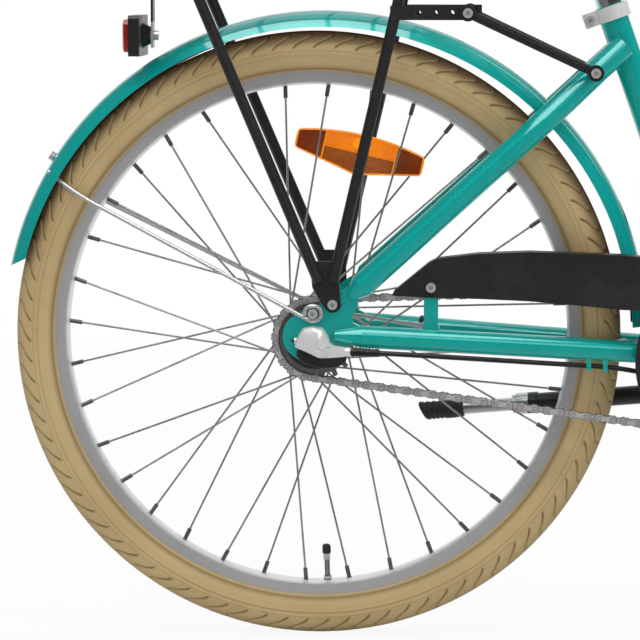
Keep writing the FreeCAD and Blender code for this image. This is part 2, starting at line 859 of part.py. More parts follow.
def chainstay_point(x, side):
    # The middle of a chain stay at a distance ahead of the rear axle.
    start, end = chainstay_line(side)
    share = (rear_x + x - start.x) / (end.x - start.x)
    return start.add(end.sub(start).multiply(share))


def chainstay(side):
    start, end = chainstay_line(side)
    radius = chainstay_diameter / 2
    tube = pipe(start, end, radius, radius - stay_wall)
    tube = tube.fuse(stay_tip(start, end.sub(start), radius))
    tube = tube.cut([bracket_solid, cup_room, seat_solid, dropout(side)])
    if side > 0:
        return tube
    return tube.fuse([guard_tab()] + cable_guides()).removeSplitter()


guard_y = chain_line + 10.0
tab_x = 114.0
tab_bolt_z = 52.0


def guard_tab():
    # An upright ear on the right chain stay that carries the tail of the chain guard.
    base = chainstay_point(tab_x, -1)
    low_z = base.z + chainstay_diameter / 2 - 6.0
    top = wheel_radius + tab_bolt_z
    half = 7.0
    outer = -guard_y + fit_gap
    ear = box_between(Vector(base.x - half, outer, low_z), Vector(base.x + half, outer + 3.4, top))
    ear = ear.fuse(cross_bar(Vector(base.x, 0, top), outer, outer + 3.4, half))
    foot = Part.makeCone(11.0, 7.0, 12.0, Vector(base.x, base.y + 2.0, low_z), up)
    foot = foot.common(
        box_between(Vector(base.x - 20, outer, low_z), Vector(base.x + 20, outer + 18, low_z + 12))
    )
    ear = ear.fuse(foot)
    return ear.cut(bolt_hole(Vector(base.x, -guard_y, top), Vector(0, -1, 0), 8.0))


guide_places = [268.0, 284.0]


def cable_under_stay(x):
    # Where the gear cable runs below the right chain stay.
    middle = chainstay_point(x, -1)
    return Vector(middle.x, middle.y - 3.0, middle.z - chainstay_diameter / 2 - 5.0)


def cable_guides():
    guides = []
    for x in guide_places:
        hold = cable_under_stay(x)
        guide = box_between(
            Vector(hold.x - 2.2, hold.y - 5.5, hold.z - 4.6),
            Vector(hold.x + 2.2, hold.y + 5.5, hold.z + 8.5)
        )
        heading = cable_under_stay(x + 1).sub(hold)
        start = hold.sub(Vector(heading).multiply(10))
        guides.append(guide.cut(Part.makeCylinder(cable_diameter / 2 + hole_gap, 20.5, start, heading)))
    return guides


seatstay_bend_angle = 43.77
seatstay_bend_inset = 23.65


def seatstay_line(side):
    top = seat(seatstay_joint, side * 15.0)
    bend = fender_radius - seatstay_bend_inset
    return [
        rear(46, side * stay_rear_y, 53),
        rear(bend * cos(seatstay_bend_angle), side * 46.0, bend * sin(seatstay_bend_angle)),
        top,
    ]


def seatstay_point(share, side):
    # A point on the straight upper run of a seat stay.
    _, bend, top = seatstay_line(side)
    return bend.add(top.sub(bend).multiply(share))


def seatstay(side):
    line = seatstay_line(side)
    radius = seatstay_diameter / 2
    tube = bent_tube(line, [130.0], radius, radius - stay_wall)
    tip = stay_tip(line[0], line[1].sub(line[0]), radius, stay_tip_length * 0.55)
    boss = arm_boss(side)
    tube = tube.fuse([tip, boss[0]]).cut([seat_solid, dropout(side), boss[1]])
    if side > 0:
        tube = tube.cut(box_between(rear(0, -60, 0), rear(400, 0, 400)))
    else:
        tube = tube.cut(box_between(rear(0, 0, 0), rear(400, 60, 400)))
    return tube


arm_share = 0.68


def arm_boss(side):
    # A threaded boss on the outer side of a seat stay for the carrier's front arm, with its hole.
    middle = seatstay_point(arm_share, side)
    face = Vector(middle.x, side * (abs(middle.y) + seatstay_diameter / 2 + 5.0), middle.z)
    boss = cylinder(middle, face, 6.5)
    return boss, bolt_hole(face, Vector(0, side, 0), 10.0), face


rack_bolt_place = (18.7, 35.9)
fender_bolt_place = (-0.4, 27.0)


def dropout(side):
    # A plate that joins the stays, with a slot for the axle that opens down and forwards.
    corners = [
        (-17.6, 25.4), (2.0, 33.7), (11.7, 38.5), (27.4, 50.0), (35.0, 55.0), (46.0, 46.0), (42.0, 33.0),
        (37.6, 24.5), (38.6, 17.6), (45.0, 14.5), (60.0, 12.0), (60.0, -4.0), (36.0, -5.0), (16.0, -6.0),
        (7.0, -19.0), (-8.0, -22.0), (-17.0, -17.0),
    ]
    points = [rear(x, 0, z) for x, z in corners]
    edges = polygon_edges(points)
    edges.append(arc_edge(points[-1], rear(-30.0, 0, 4.0), points[0]))
    inner, outer = sorted((side * dropout_inner, side * dropout_outer))
    plate = plate_outline(edges, inner, outer)
    slot_radius = rear_axle_diameter / 2 + fit_gap
    slot = cross_bar(rear(0, 0, 0), inner - 1, outer + 1, slot_radius)
    mouth = box_between(rear(-slot_radius, inner - 1, -40), rear(slot_radius, outer + 1, 0))
    mouth.rotate(rear(0, 0, 0), left, -14)
    cuts = [slot, mouth]
    for x, z in (rack_bolt_place, fender_bolt_place):
        cuts.append(bolt_hole(rear(x, side * dropout_outer, z), Vector(0, side, 0), 12.0))
    return plate.cut(cuts)


bridge_share = 0.36


def frame_bridges():
    # Round bars between the stays, which also carry the mudguard.
    lower = chainstay_point(stay_bridge_x, 1)
    bar = cross_bar(lower, -lower.y, lower.y, 7.0)
    fender_x = rear_x + rear_fender_shift + fender_radius
    ear = box_between(Vector(fender_x + fit_gap, -10, lower.z - 3), Vector(fender_x + 2.4, 10, lower.z + 38))
    web = box_between(Vector(fender_x + fit_gap, -10, lower.z - 3), Vector(lower.x, 10, lower.z + 3))
    pad = box_between(Vector(lower.x, -14, lower.z - 7), Vector(lower.x + 34, 14, lower.z - 3))
    lower_bridge = bar.fuse([ear, web, pad])
    cuts = [chainstay_tube(side) for side in (-1, 1)]
    cuts.append(stand_bolt_hole())
    lower_bridge = lower_bridge.cut(cuts)
    upper = seatstay_point(bridge_share, 1)
    upper_bridge = cross_bar(upper, -upper.y, upper.y, 6.0)
    reach = math.hypot(upper.x - rear_x - rear_fender_shift, upper.z - wheel_radius)
    inward = Vector(rear_x + rear_fender_shift, 0, wheel_radius).sub(Vector(upper.x, 0, upper.z)).normalize()
    foot = Vector(upper.x, 0, upper.z).add(Vector(inward).multiply(reach - fender_radius - fit_gap))
    upper_bridge = upper_bridge.fuse(cylinder(Vector(upper.x, 0, upper.z), foot, 7.0))
    upper_bridge = upper_bridge.cut(
        [sweep(bent_wire(seatstay_line(s), [130.0]), seatstay_diameter / 2) for s in (-1, 1)]
    )
    return [lower_bridge, upper_bridge]


def chainstay_tube(side):
    start, end = chainstay_line(side)
    return cylinder(start, end, chainstay_diameter / 2)


def seat_clamp():
    # A collar round the top of the seat tube, pinched by a bolt through two ears at the back.
    low, high = seat_tube_length - 15.0, seat_tube_length - 1.0
    collar = cylinder(seat(low), seat(high), seat_tube_diameter / 2 + 3.6)
    ears = Part.makeBox(14.0, 22.0, high - low)
    ears.translate(Vector(-seat_tube_diameter / 2 - 14.5, -11.0, low))
    ears.rotate(Vector(0, 0, 0), left, -(90 - seat_tube_angle))
    ears.translate(crank(0, 0, 0))
    slot = Part.makeBox(32.0, 3.0, 40.0)
    slot.translate(Vector(-seat_tube_diameter / 2 - 24.0, -1.5, low - 10))
    slot.rotate(Vector(0, 0, 0), left, -(90 - seat_tube_angle))
    slot.translate(crank(0, 0, 0))
    bore = cylinder(seat(low - 5), seat(high + 5), seat_tube_diameter / 2 + fit_gap)
    place = clamp_bolt_point()
    return collar.fuse(ears).cut([bore, slot, bolt_hole(place, Vector(0, -1, 0), 40.0)])


def clamp_bolt_point():
    return seat(seat_tube_length - 8.0, -11.0, -seat_tube_diameter / 2 - 8.5)


def bearing_cups():
    # The fixed halves of the crank's and the steering's bearings.
    cups = []
    for side in (-1, 1):
        shell_end = side * bottom_bracket_width / 2
        bore_radius = bottom_bracket_diameter / 2 - 3.0 - fit_gap
        cup = cross_bar(crank(0, 0, 0), shell_end - side * 16.0, shell_end, bore_radius)
        cup = cup.fuse(
            cross_bar(crank(0, 0, 0), shell_end, shell_end + side * 4.0, bottom_bracket_diameter / 2 - 1.0)
        )
        cups.append(cup.cut(cross_bar(crank(0, 0, 0), -60, 60, spindle_radius + 0.1)))
    inside = head_tube_diameter / 2 - head_tube_wall - fit_gap
    bore = cylinder(steer(head_low - 40), steer(head_high + 40), steerer_diameter / 2 + running_gap)
    for end, out in ((head_low, -1), (head_high, 1)):
        cup = cylinder(steer(end - out * 9.0), steer(end), inside)
        cup = cup.fuse(cylinder(steer(end), steer(end + out * 7.0), head_tube_diameter / 2 + 2.0))
        cups.append(cup.cut(bore))
    return cups


# Mudguards

def fender(centre, low_angle, high_angle):
    # A shallow arched section carried round part of the wheel.
    half = fender_width / 2
    edge = fender_radius - fender_depth
    edges = [
        arc_edge(Vector(edge, -half, 0), Vector(fender_radius, 0, 0), Vector(edge, half, 0)),
        line_edge(Vector(edge, half, 0), Vector(edge, half - fender_wall, 0)),
        arc_edge(Vector(edge, half - fender_wall, 0), Vector(fender_radius - fender_wall, 0, 0),
                 Vector(edge, fender_wall - half, 0)),
        line_edge(Vector(edge, fender_wall - half, 0), Vector(edge, -half, 0)),
    ]
    face = ring_face(edges)
    face.rotate(Vector(0, 0, 0), left, -low_angle)
    solid = face.revolve(Vector(0, 0, 0), Vector(0, -1, 0), high_angle - low_angle)
    solid.translate(centre)
    return solid


def fender_point(centre, radius, angle, y):
    return Vector(centre.x + radius * cos(angle), y, centre.z + radius * sin(angle))


rear_fender_centre = rear(rear_fender_shift, 0, 0)
rear_stay_angle = 149.5
stay_knee_y = tyre_radius + fender_stay_diameter / 2 + 0.9


def rear_fender():
    solid = fender(rear_fender_centre, rear_fender_front_angle, rear_fender_rear_angle)
    tip = fender_point(rear_fender_centre, fender_radius, rear_fender_rear_angle, 0)
    trim = Part.makeBox(90, 2 * fender_width, 60)
    trim.translate(Vector(0, -fender_width, -60))
    trim.rotate(Vector(0, 0, 0), left, -26)
    trim.translate(tip)
    hole_seat = fender_point(rear_fender_centre, fender_radius, rear_stay_angle - 2.5, 0)
    hole = bolt_hole(hole_seat, hole_seat.sub(rear_fender_centre), 8.0)
    return solid.cut([trim, hole])


def fender_stay(eye, eye_y, eye_bore, knee, corner):
    # One wire from an eye on the right, past the tyre and across inside the mudguard, to an eye on the left.
    radius = fender_stay_diameter / 2
    loop = eye_bore + radius + 0.4
    toward = Vector(corner.x - eye.x, 0, corner.z - eye.z).normalize()
    start = eye.add(toward.multiply(loop))
    right = [
        Vector(start.x, -eye_y, start.z), Vector(knee.x, -knee.y, knee.z),
        Vector(corner.x, -corner.y, corner.z)
    ]
    line = right + [Vector(p.x, -p.y, p.z) for p in reversed(right)]
    body = sweep(bent_wire(line, [30.0, 8.0, 8.0, 30.0]), radius)
    eyes = [Part.makeTorus(loop, radius, Vector(eye.x, s * eye_y, eye.z), left) for s in (-1, 1)]
    return body.fuse(eyes)


rear_eye_y = dropout_outer + fender_stay_diameter / 2 + 0.8


def rear_fender_stays():
    angle = rear_stay_angle
    corner = fender_point(rear_fender_centre, wheel_radius + 11.0, angle, 17.0)
    knee = fender_point(rear(0, 0, 0), tyre_centre + 6.5, angle, stay_knee_y)
    eye = rear(fender_bolt_place[0], 0, fender_bolt_place[1])
    return fender_stay(eye, rear_eye_y, bolt_diameter / 2, knee, corner)


# Carrier
strut_split = (10.5, 58.0)


def rack_z(y, x, z=0.0):
    return rear(x, y, rack_height + z)


rack_bend = 32.0
rack_bar_places = (-146.0, -36.0, 70.0)
rack_bar_radius = 4.0
rack_rod_radius = 3.0
rack_rod_y = 38.0


def rack_corner(side):
    # A quarter bend between a side rail and the rear bar.
    w, r = side * rack_half_width, rack_tube_diameter / 2
    middle = rack_z(w - side * rack_bend, rack_rear + rack_bend)
    points = []
    for angle in (0, 45, 90):
        points.append(middle.add(Vector(-rack_bend * sin(angle), side * rack_bend * cos(angle), 0)))
    return sweep(Part.Wire([arc_edge(*points)]), r)


def rack_frame():
    # The deck: rails bent round the back, cross bars, two rods, and a flat slat down the middle.
    radius = rack_tube_diameter / 2
    w = rack_half_width
    rails = [
        cylinder(rack_z(s * w, rack_rear + rack_bend), rack_z(s * w, rack_front), radius) for s in (-1, 1)
    ]
    rear_bar = cross_bar(rack_z(0, rack_rear), rack_bend - w, w - rack_bend, radius)
    front_bar = cross_bar(rack_z(0, rack_front), -w, w, radius).cut(rails)
    bars = [cross_bar(rack_z(0, x), -w, w, rack_bar_radius).cut(rails) for x in rack_bar_places]
    rods = []
    for side in (-1, 1):
        rod = cylinder(
            rack_z(side * rack_rod_y, rack_rear), rack_z(side * rack_rod_y, rack_front), rack_rod_radius
        )
        rods += rod.cut(bars + [rear_bar, front_bar, rack_corner(side)]).Solids
    top = rack_bar_radius + 0.05
    slat = box_between(
        rack_z(-rack_slat_width / 2, rack_bar_places[0] - 6, top),
        rack_z(rack_slat_width / 2, rack_bar_places[-1] + 6, top + rack_slat_thickness))
    return rails + [rear_bar, front_bar, rack_corner(-1), rack_corner(1), slat] + bars + rods


def rack_solid_rails():
    w = rack_half_width
    radius = rack_tube_diameter / 2 + fit_gap
    reach = rack_tube_diameter / 2
    rails = [cylinder(rack_z(s * w, rack_rear), rack_z(s * w, rack_front), radius) for s in (-1, 1)]
    bar = cross_bar(rack_z(0, rack_front), -w - reach - fit_gap, w + reach + fit_gap, radius)
    return rails + [bar]


def strut_ends(side):
    # The two upper ends of a pair of struts.
    return rack_z(side * rack_half_width, -115.0), rack_z(side * rack_half_width, 84.5)


bar_bolt_x = 149.0
bar_z = rack_height - 23.0
bar_half_height = 6.8


def bar_y():
    # The outer face of the flat bar, beside the front strut.
    return rack_half_width + rack_tube_diameter / 2 + 1.6


def rack_strut_pair(side):
    # Two tubes that meet in a flattened lug on the dropout, and a drilled flat bar that reaches forward.
    back, ahead = strut_ends(side)
    radius = rack_tube_diameter / 2
    back_foot = rear(strut_split[0] - 5.0, side * rack_foot_half_width, strut_split[1])
    front_foot = rear(strut_split[0] + 8.5, side * rack_foot_half_width, strut_split[1])
    tubes = cylinder(back_foot, back, radius).fuse(cylinder(front_foot, ahead, radius))
    lug_low, lug_high = sorted((side * (dropout_outer + fit_gap), side * (dropout_outer + 3.2)))
    bolt_at = rear(rack_bolt_place[0], 0, rack_bolt_place[1])
    corners = [(-4.0, 78.0), (-1.0, 52.0), (10.5, 33.0), (26.5, 33.0), (24.0, 78.0)]
    points = [rear(x, 0, z) for x, z in corners]
    lug = plate_outline(polygon_edges(points + points[:1]), lug_low, lug_high)
    lug = lug.fuse(cross_bar(bolt_at, lug_low, lug_high, 8.0))
    low_y, high_y = sorted((side * (bar_y() - 3.2), side * bar_y()))
    bar = box_between(
        rear(74.0, low_y, bar_z - bar_half_height),
        rear(bar_bolt_x + 12.0, high_y, bar_z + bar_half_height)
    )
    holes = [
        bolt_hole(rear(bar_bolt_x - 16.0 * k, side * bar_y(), bar_z), Vector(0, side, 0), 9.0)
        for k in range(4)
    ]
    holes.append(
        bolt_hole(
            rear(rack_bolt_place[0], side * dropout_outer, rack_bolt_place[1]), Vector(0, side, 0), 12.0
        )
    )
    pair = tubes.fuse([lug, bar.cut(holes[:4])])
    return pair.cut(rack_solid_rails() + holes[4:])


def rack_arm(side):
    # A flattened rod from the drilled bar to the boss on the seat stay.
    _, _, stay_face = arm_boss(side)
    radius = rack_arm_diameter / 2
    start = rear(bar_bolt_x, side * (bar_y() + fit_gap + radius), bar_z)
    end = Vector(stay_face.x, stay_face.y + side * (fit_gap + radius), stay_face.z)
    rod = cylinder(start, end, radius)
    discs = []
    for point in (start, end):
        discs.append(cross_bar(point, point.y - radius, point.y + radius, 8.0))
    rod = rod.fuse(discs)
    cuts = []
    for point in (start, end):
        outer = Vector(point.x, point.y + side * radius, point.z)
        inner = Vector(point.x, point.y - side * radius, point.z)
        cuts.append(bolt_hole(outer, Vector(0, side, 0), 12.0))
        cuts.append(Part.makeCylinder(12.0, 12.0, outer, Vector(0, side, 0)))
        cuts.append(Part.makeCylinder(12.0, 12.0, inner, Vector(0, -side, 0)))
    return rod.cut(cuts)


def arm_ends(side):
    _, _, stay_face = arm_boss(side)
    outer = fit_gap + rack_arm_diameter
    start = rear(bar_bolt_x, side * (bar_y() + outer), bar_z)
    return start, Vector(stay_face.x, stay_face.y + side * outer, stay_face.z)


# Tail reflector
lens_x = rack_rear - 10.0
lens_z = rack_height - 46.0


def tail_reflector_housing():
    # A shallow box behind the lens, on a strap that hangs from the back of the carrier.
    box = box_between(rear(lens_x + 3.0, -40, lens_z - 20), rear(lens_x + 14.0, 40, lens_z + 20))
    box = box.makeFillet(4.0, [e for e in box.Edges if abs(e.tangentAt(e.FirstParameter).x) > 0.9])
    recess = box_between(rear(lens_x + 2.0, -37, lens_z - 17), rear(lens_x + 6.0, 37, lens_z + 17))
    back = Part.makeCone(13.0, 8.0, 8.0, rear(lens_x + 14.0, 0, lens_z), Vector(1, 0, 0))
    housing = box.cut(recess).fuse(back)
    strap_x = lens_x + 22.0 + fit_gap
    tube_top = rack_height + rack_tube_diameter / 2 + fit_gap
    strap = box_between(rear(strap_x, -9, lens_z - 12), rear(strap_x + 2.2, 9, tube_top + 2.2))
    hook = box_between(rear(rack_rear - 5, -9, tube_top), rear(strap_x + 2.2, 9, tube_top + 2.2))
    strap = strap.fuse(hook)
    hole = bolt_hole(rear(strap_x, 0, lens_z), Vector(1, 0, 0), 7.0)
    return [housing.cut(hole), strap.cut(hole)]


def tail_reflector_lens():
    gap = fit_gap
    lens = box_between(
        rear(lens_x, -37 + gap, lens_z - 17 + gap), rear(lens_x + 6.0 - gap, 37 - gap, lens_z + 17 - gap)
    )
    rounded = [e for e in lens.Edges if abs(e.CenterOfMass.x - rear(lens_x, 0, 0).x) < 0.01]
    return lens.makeFillet(2.0, rounded)


# Chain guard

def guard_outline():
    # Tail, shoulder, long top edge, the disc round the chainring, and the lower edge back to the tail.
    centre = crank(0, 0, 0)
    disc = guard_disc_radius
    top = Vector(centre.x, 0, centre.z + disc)
    low_angle = 148.0
    join = Vector(centre.x + disc * cos(low_angle), 0, centre.z + disc * sin(low_angle))
    points = [
        rear(105, 0, 42), rear(76, 0, 44), rear(78, 0, 48), rear(112, 0, 76), rear(120, 0, 80),
        rear(160, 0, 85), rear(210, 0, 87), rear(300, 0, 84), top,
    ]
    edges = polygon_edges(points)
    edges.append(arc_edge(top, Vector(centre.x, 0, centre.z - disc), join))
    back = [join, rear(300, 0, 31), rear(258, 0, 35), rear(209, 0, 39), rear(160, 0, 41), rear(105, 0, 42)]
    return edges + polygon_edges(back)


def chain_guard():
    # A flat cover outside the chain, with a lip turned inwards over the top run and round the front.
    outer, inner = -guard_y - guard_wall, -guard_y
    plate = plate_outline(guard_outline(), outer, inner)
    face = ring_face(guard_outline())
    face.translate(Vector(0, inner, 0))
    core = face.makeOffset2D(-guard_wall)
    lip = face.cut(core).extrude(Vector(0, guard_lip, 0))
    low_back = rear(60, inner - 1, 0)
    below = box_between(rear(99, inner - 1, -150), rear(crank_x - 55, inner + 40, 46))
    open_tail = box_between(low_back, rear(112, inner + 40, 46))
    lip = lip.cut([below, open_tail])
    hub_hole = cross_bar(crank(0, 0, 0), outer - 1, inner + 1, guard_crank_hole_radius)
    tab_hole = bolt_hole(rear(tab_x, outer, tab_bolt_z), Vector(0, -1, 0), 8.0)
    return plate.fuse(lip).cut([hub_hole, tab_hole])


def guard_strap():
    # A ring behind the bottom bracket cup's flange, with two arms out to the guard's lip.
    outer = -bottom_bracket_width / 2 - 3.6
    inner = -bottom_bracket_width / 2 - 1.2
    reach = guard_disc_radius - guard_wall - fit_gap
    arms = []
    for angle in (35.0, 95.0):
        arm = box_between(Vector(10, outer, -7), Vector(reach, inner, 7))
        arms.append(spin(arm, Vector(0, 0, 0), -angle))
    strap = cross_bar(Vector(0, 0, 0), outer, inner, 27.0).fuse(arms)
    strap = strap.common(cross_bar(Vector(0, 0, 0), outer, inner, reach))
    strap = strap.cut(
        cross_bar(Vector(0, 0, 0), outer - 1, inner + 1, bottom_bracket_diameter / 2 - 1.0 + fit_gap)
    )
    strap.translate(crank(0, 0, 0))
    return strap


# Rear hub fittings
axle_nut_across = 15.0
arm_plane = 44.4
arm_thickness = 3.0
cover_start = dropout_outer + fit_gap


def rear_axle():
    # The fixed axle with its cones, lock nuts and outer nuts.
    radius = rear_axle_diameter / 2
    rod = cross_bar(rear(0, 0, 0), -dropout_outer - 15.0, dropout_outer + 16.0, radius)
    pieces = [
        cross_bar(rear(0, 0, 0), -dropout_inner, -dropout_inner + 4.0, 9.0),
        cross_bar(rear(0, 0, 0), arm_plane + fit_gap, dropout_inner, 9.5),
        hex_prism(rear(0, dropout_outer, 0), left, axle_nut_across, 9.0),
        hex_prism(rear(0, -dropout_outer, 0), Vector(0, -1, 0), axle_nut_across, 9.0),
    ]
    return rod.fuse(pieces)


def hub_dust_cap():
    # A thin dished disc on the axle outside the sprocket.
    radius = dust_cap_diameter / 2
    bore = rear_axle_diameter / 2 + fit_gap
    outer = dropout_inner - 4.0 - fit_gap
    profile = [
        (bore, -outer), (radius - 6.0, -outer), (radius, -outer + 1.6), (radius, -outer + 2.8),
        (radius - 7.0, -outer + 2.0), (bore, -outer + 2.0),
    ]
    return turned(profile, rear(0, 0, 0))


def shift_joint_cover():
    # A domed cover over the right axle end, drawn out into an arm where the gear cable enters.
    big, small = 15.6, 6.2
    start, end = -cover_start, -cover_start - 21.0
    dome = cross_bar(Vector(0, 0, 0), start, end, big)
    rim_edges = [e for e in dome.Edges if len(e.Vertexes) == 1 and abs(e.CenterOfMass.y - end) < 0.01]
    dome = dome.makeFillet(9.5, rim_edges)
    tip = Vector(cover_tip[0], 0, cover_tip[1])
    span = math.hypot(tip.x, tip.z)
    lean = math.degrees(math.atan2(tip.z, tip.x))
    swing = math.degrees(math.acos((big - small) / span))
    corners = [
        Vector(big * cos(lean + swing), 0, big * sin(lean + swing)),
        Vector(tip.x + small * cos(lean + swing), 0, tip.z + small * sin(lean + swing)),
        Vector(tip.x + small * cos(lean - swing), 0, tip.z + small * sin(lean - swing)),
        Vector(big * cos(lean - swing), 0, big * sin(lean - swing)),
    ]
    arm = plate_outline(polygon_edges(corners + corners[:1]), start - 12.5, start - 1.0)
    arm = arm.makeFillet(3.5, [e for e in arm.Edges if abs(e.CenterOfMass.y - start + 12.5) < 0.01])
    block = box_between(Vector(-17.5, start - 14.0, -11.5), Vector(0, start, 9.5))
    block = block.makeFillet(2.5, [e for e in block.Edges if abs(e.CenterOfMass.x + 17.5) < 0.01])
    hollow = cross_bar(
        Vector(0, 0, 0), start + 1, -dropout_outer - 15.6, axle_nut_across / math.sqrt(3) + 0.5
    )
    socket = cylinder(
        Vector(tip.x - 6.0, cable_start_y, tip.z), Vector(tip.x + 30.0, cable_start_y, tip.z),
        cable_diameter / 2 + hole_gap
    )
    cover = dome.fuse([arm, block]).cut([hollow, socket])
    cover.translate(rear(0, 0, 0))
    stay_begin, stay_end = chainstay_line(-1)
    room = chainstay_diameter / 2 + running_gap
    stay_room = cylinder(stay_begin, stay_end, room).fuse(
        stay_tip(stay_begin, stay_end.sub(stay_begin), room)
    )
    cover = cover.cut(stay_room)
    return [cover, cover_base(start).cut([cover, stay_room])]


def cover_base(start):
    # The moulded base that the cover clips on to, which shows below it.
    outline = [
        (-15.0, -8.0), (31.0, -13.0), (33.0, -19.0), (24.0, -25.0), (8.0, -26.0), (-10.0, -21.0),
        (-17.0, -14.0)
    ]
    corners = [rear(x, 0, z) for x, z in outline]
    body = plate_outline(polygon_edges(corners + corners[:1]), start - 11.0, start)
    return body.makeFillet(3.0, [e for e in body.Edges if abs(e.CenterOfMass.y - start + 11.0) < 0.01])


cover_tip = (30.5, -9.5)
cable_start_y = -cover_start - 7.0


def brake_arm():
    # The coaster brake's lever, from the left end of the hub to a clip round the left chain stay.
    outer, inner = arm_plane, arm_plane - arm_thickness
    clip_at = chainstay_point(clip_x, 1)
    end = Vector(clip_at.x, 0, clip_at.z + 3.0)
    knee = rear(38.0, 0, 13.0)
    half = 2.8
    corners = [
        rear(0, 0, -13.0), Vector(knee.x, 0, knee.z - half - 3), Vector(end.x, 0, end.z - half),
        Vector(end.x, 0, end.z + half), Vector(knee.x, 0, knee.z + half), rear(0, 0, 17.0),
    ]
    plate = plate_outline(polygon_edges(corners + corners[:1]), inner, outer)
    plate = plate.fuse([cross_bar(rear(0, 0, 0), inner, outer, 18.0), cross_bar(end, inner, outer, 5.4)])
    bolt_at = Vector(end.x, inner, end.z)
    bore = cross_bar(rear(0, 0, 0), inner - 1, outer + 1, rear_axle_diameter / 2 + fit_gap)
    plate = plate.cut([bore, bolt_hole(bolt_at, Vector(0, -1, 0), 6.0)])
    start, stay_end = chainstay_line(1)
    along = stay_end.sub(start).normalize()
    ring_start = clip_at.sub(Vector(along).multiply(5.0))
    ring_end = clip_at.add(Vector(along).multiply(5.0))
    clip = pipe(ring_start, ring_end, chainstay_diameter / 2 + 1.5, chainstay_diameter / 2 + fit_gap)
    ear = box_between(
        Vector(end.x - 5, outer + fit_gap, end.z - 6), Vector(end.x + 5, outer + 4.0, end.z + 6)
    )
    ear = ear.cut(cylinder(start, stay_end, chainstay_diameter / 2 + fit_gap))
    clip = clip.fuse(ear).cut(bolt_hole(bolt_at, Vector(0, -1, 0), 5.5))
    return [plate, clip]


clip_x = 105.0


def clip_bolt_point():
    middle = chainstay_point(clip_x, 1)
    return Vector(middle.x, arm_plane - arm_thickness, middle.z + 3.0)


# Gear cable

def offset_line(points, distance):
    # The same bent line in the XZ plane, moved square to itself towards the ground.
    moved = []
    normals = []
    for a, b in zip(points, points[1:]):
        along = b.sub(a).normalize()
        normals.append(Vector(-along.z, 0, along.x) if along.x < 0 else Vector(along.z, 0, -along.x))
    moved.append(points[0].add(Vector(normals[0]).multiply(distance)))
    for corner, before, after in zip(points[1:-1], normals, normals[1:]):
        middle = before.add(after)
        moved.append(corner.add(middle.multiply(2 * distance / middle.Length ** 2)))
    moved.append(points[-1].add(Vector(normals[-1]).multiply(distance)))
    return moved


cable_side = 14.0
cable_drop = 17.4


def down_tube_cable():
    # The cable's corner points along the underside of the down tube, from the top.
    top, corner, low = offset_line(down_tube_line(), cable_drop)
    for point in (top, corner, low):
        point.y = -cable_side
    toward_low = corner.sub(top)
    stop = top.add(Vector(toward_low).multiply(0.3))
    along = low.sub(corner).normalize()
    foot = low.sub(along.multiply(95.0))
    return stop, corner, foot


def shift_cable():
    # From the hub's cover, under the chain stay and the bottom bracket, and up the down tube.
    stop, corner, foot = down_tube_cable()
    start = rear(cover_tip[0] - 4.0, cable_start_y, cover_tip[1])
    leave = rear(cover_tip[0] + 34.0, cable_start_y, cover_tip[1] - 1.0)
    first = cable_under_stay(guide_places[0] - 30)
    last = cable_under_stay(guide_places[1] + 20)
    under = crank(8.0, -23.0, -27.0)
    line = [start, leave, first, last, under, foot, corner, stop]
    body = sweep(bent_wire(line, [120.0, 300.0, 150.0, 60.0, 150.0, 600.0]), cable_diameter / 2)
    boot = cylinder(rear(cover_tip[0] + 6.6, cable_start_y, cover_tip[1]), leave, cable_diameter / 2 + 1.2)
    return body.fuse(boot)


# Stand
def stand_bolt_point():
    lower = chainstay_point(stay_bridge_x, 1)
    return Vector(lower.x + 20.0, 0, lower.z - 3.0)


stand_pivot = stand_bolt_point().add(Vector(8.038, 28.0, -40.871))
stand_folded = Vector(-0.990, 0.105, -0.0961).normalize()
stand_down = Vector(-0.16, 0.50, -0.851).normalize()
stand_axis = stand_down.cross(stand_folded).normalize()
stand_pin_radius = 5.0
stand_knuckle_radius = 13.0
stand_knuckle_half = 9.0


def on_stand_axis(distance):
    return stand_pivot.add(Vector(stand_axis).multiply(distance))


def stand_bolt_hole():
    return bolt_hole(stand_bolt_point(), up, 22.0)


def kickstand_bracket():
    # A block under the bridge behind the bottom bracket, with the stand's slanting hinge pin.
    top = stand_bolt_point().z - 4.0 - fit_gap
    mid = stand_bolt_point().x
    block = box_between(Vector(mid - 17, -13.5, top - 14), Vector(mid + 17, 13.5, top))
    low = box_between(Vector(mid - 17, -13.5, top - 52), Vector(mid + 17, 14.0, top - 13))
    outer_face = stand_knuckle_half + 2 * running_gap
    inner_face = -outer_face
    boss = cylinder(on_stand_axis(inner_face), on_stand_axis(-30.0), stand_knuckle_radius)
    ribs = []
    for k in range(4):
        z = top - 20 - 8 * k
        ribs.append(box_between(Vector(mid - 18, -14.5, z - 2), Vector(mid + 18, 8, z)))
    pin = cylinder(on_stand_axis(-22.0), on_stand_axis(outer_face + 1.0), stand_pin_radius)
    cap = cylinder(on_stand_axis(outer_face), on_stand_axis(outer_face + 3.0), 9.0)
    room = cylinder(on_stand_axis(inner_face), on_stand_axis(40), stand_knuckle_radius + 2.0)
    body = block.fuse([low, boss] + ribs).cut([room, stand_bolt_hole()])
    return body.fuse([pin, cap])


def on_stand(distance):
    return stand_pivot.add(Vector(stand_folded).multiply(distance))


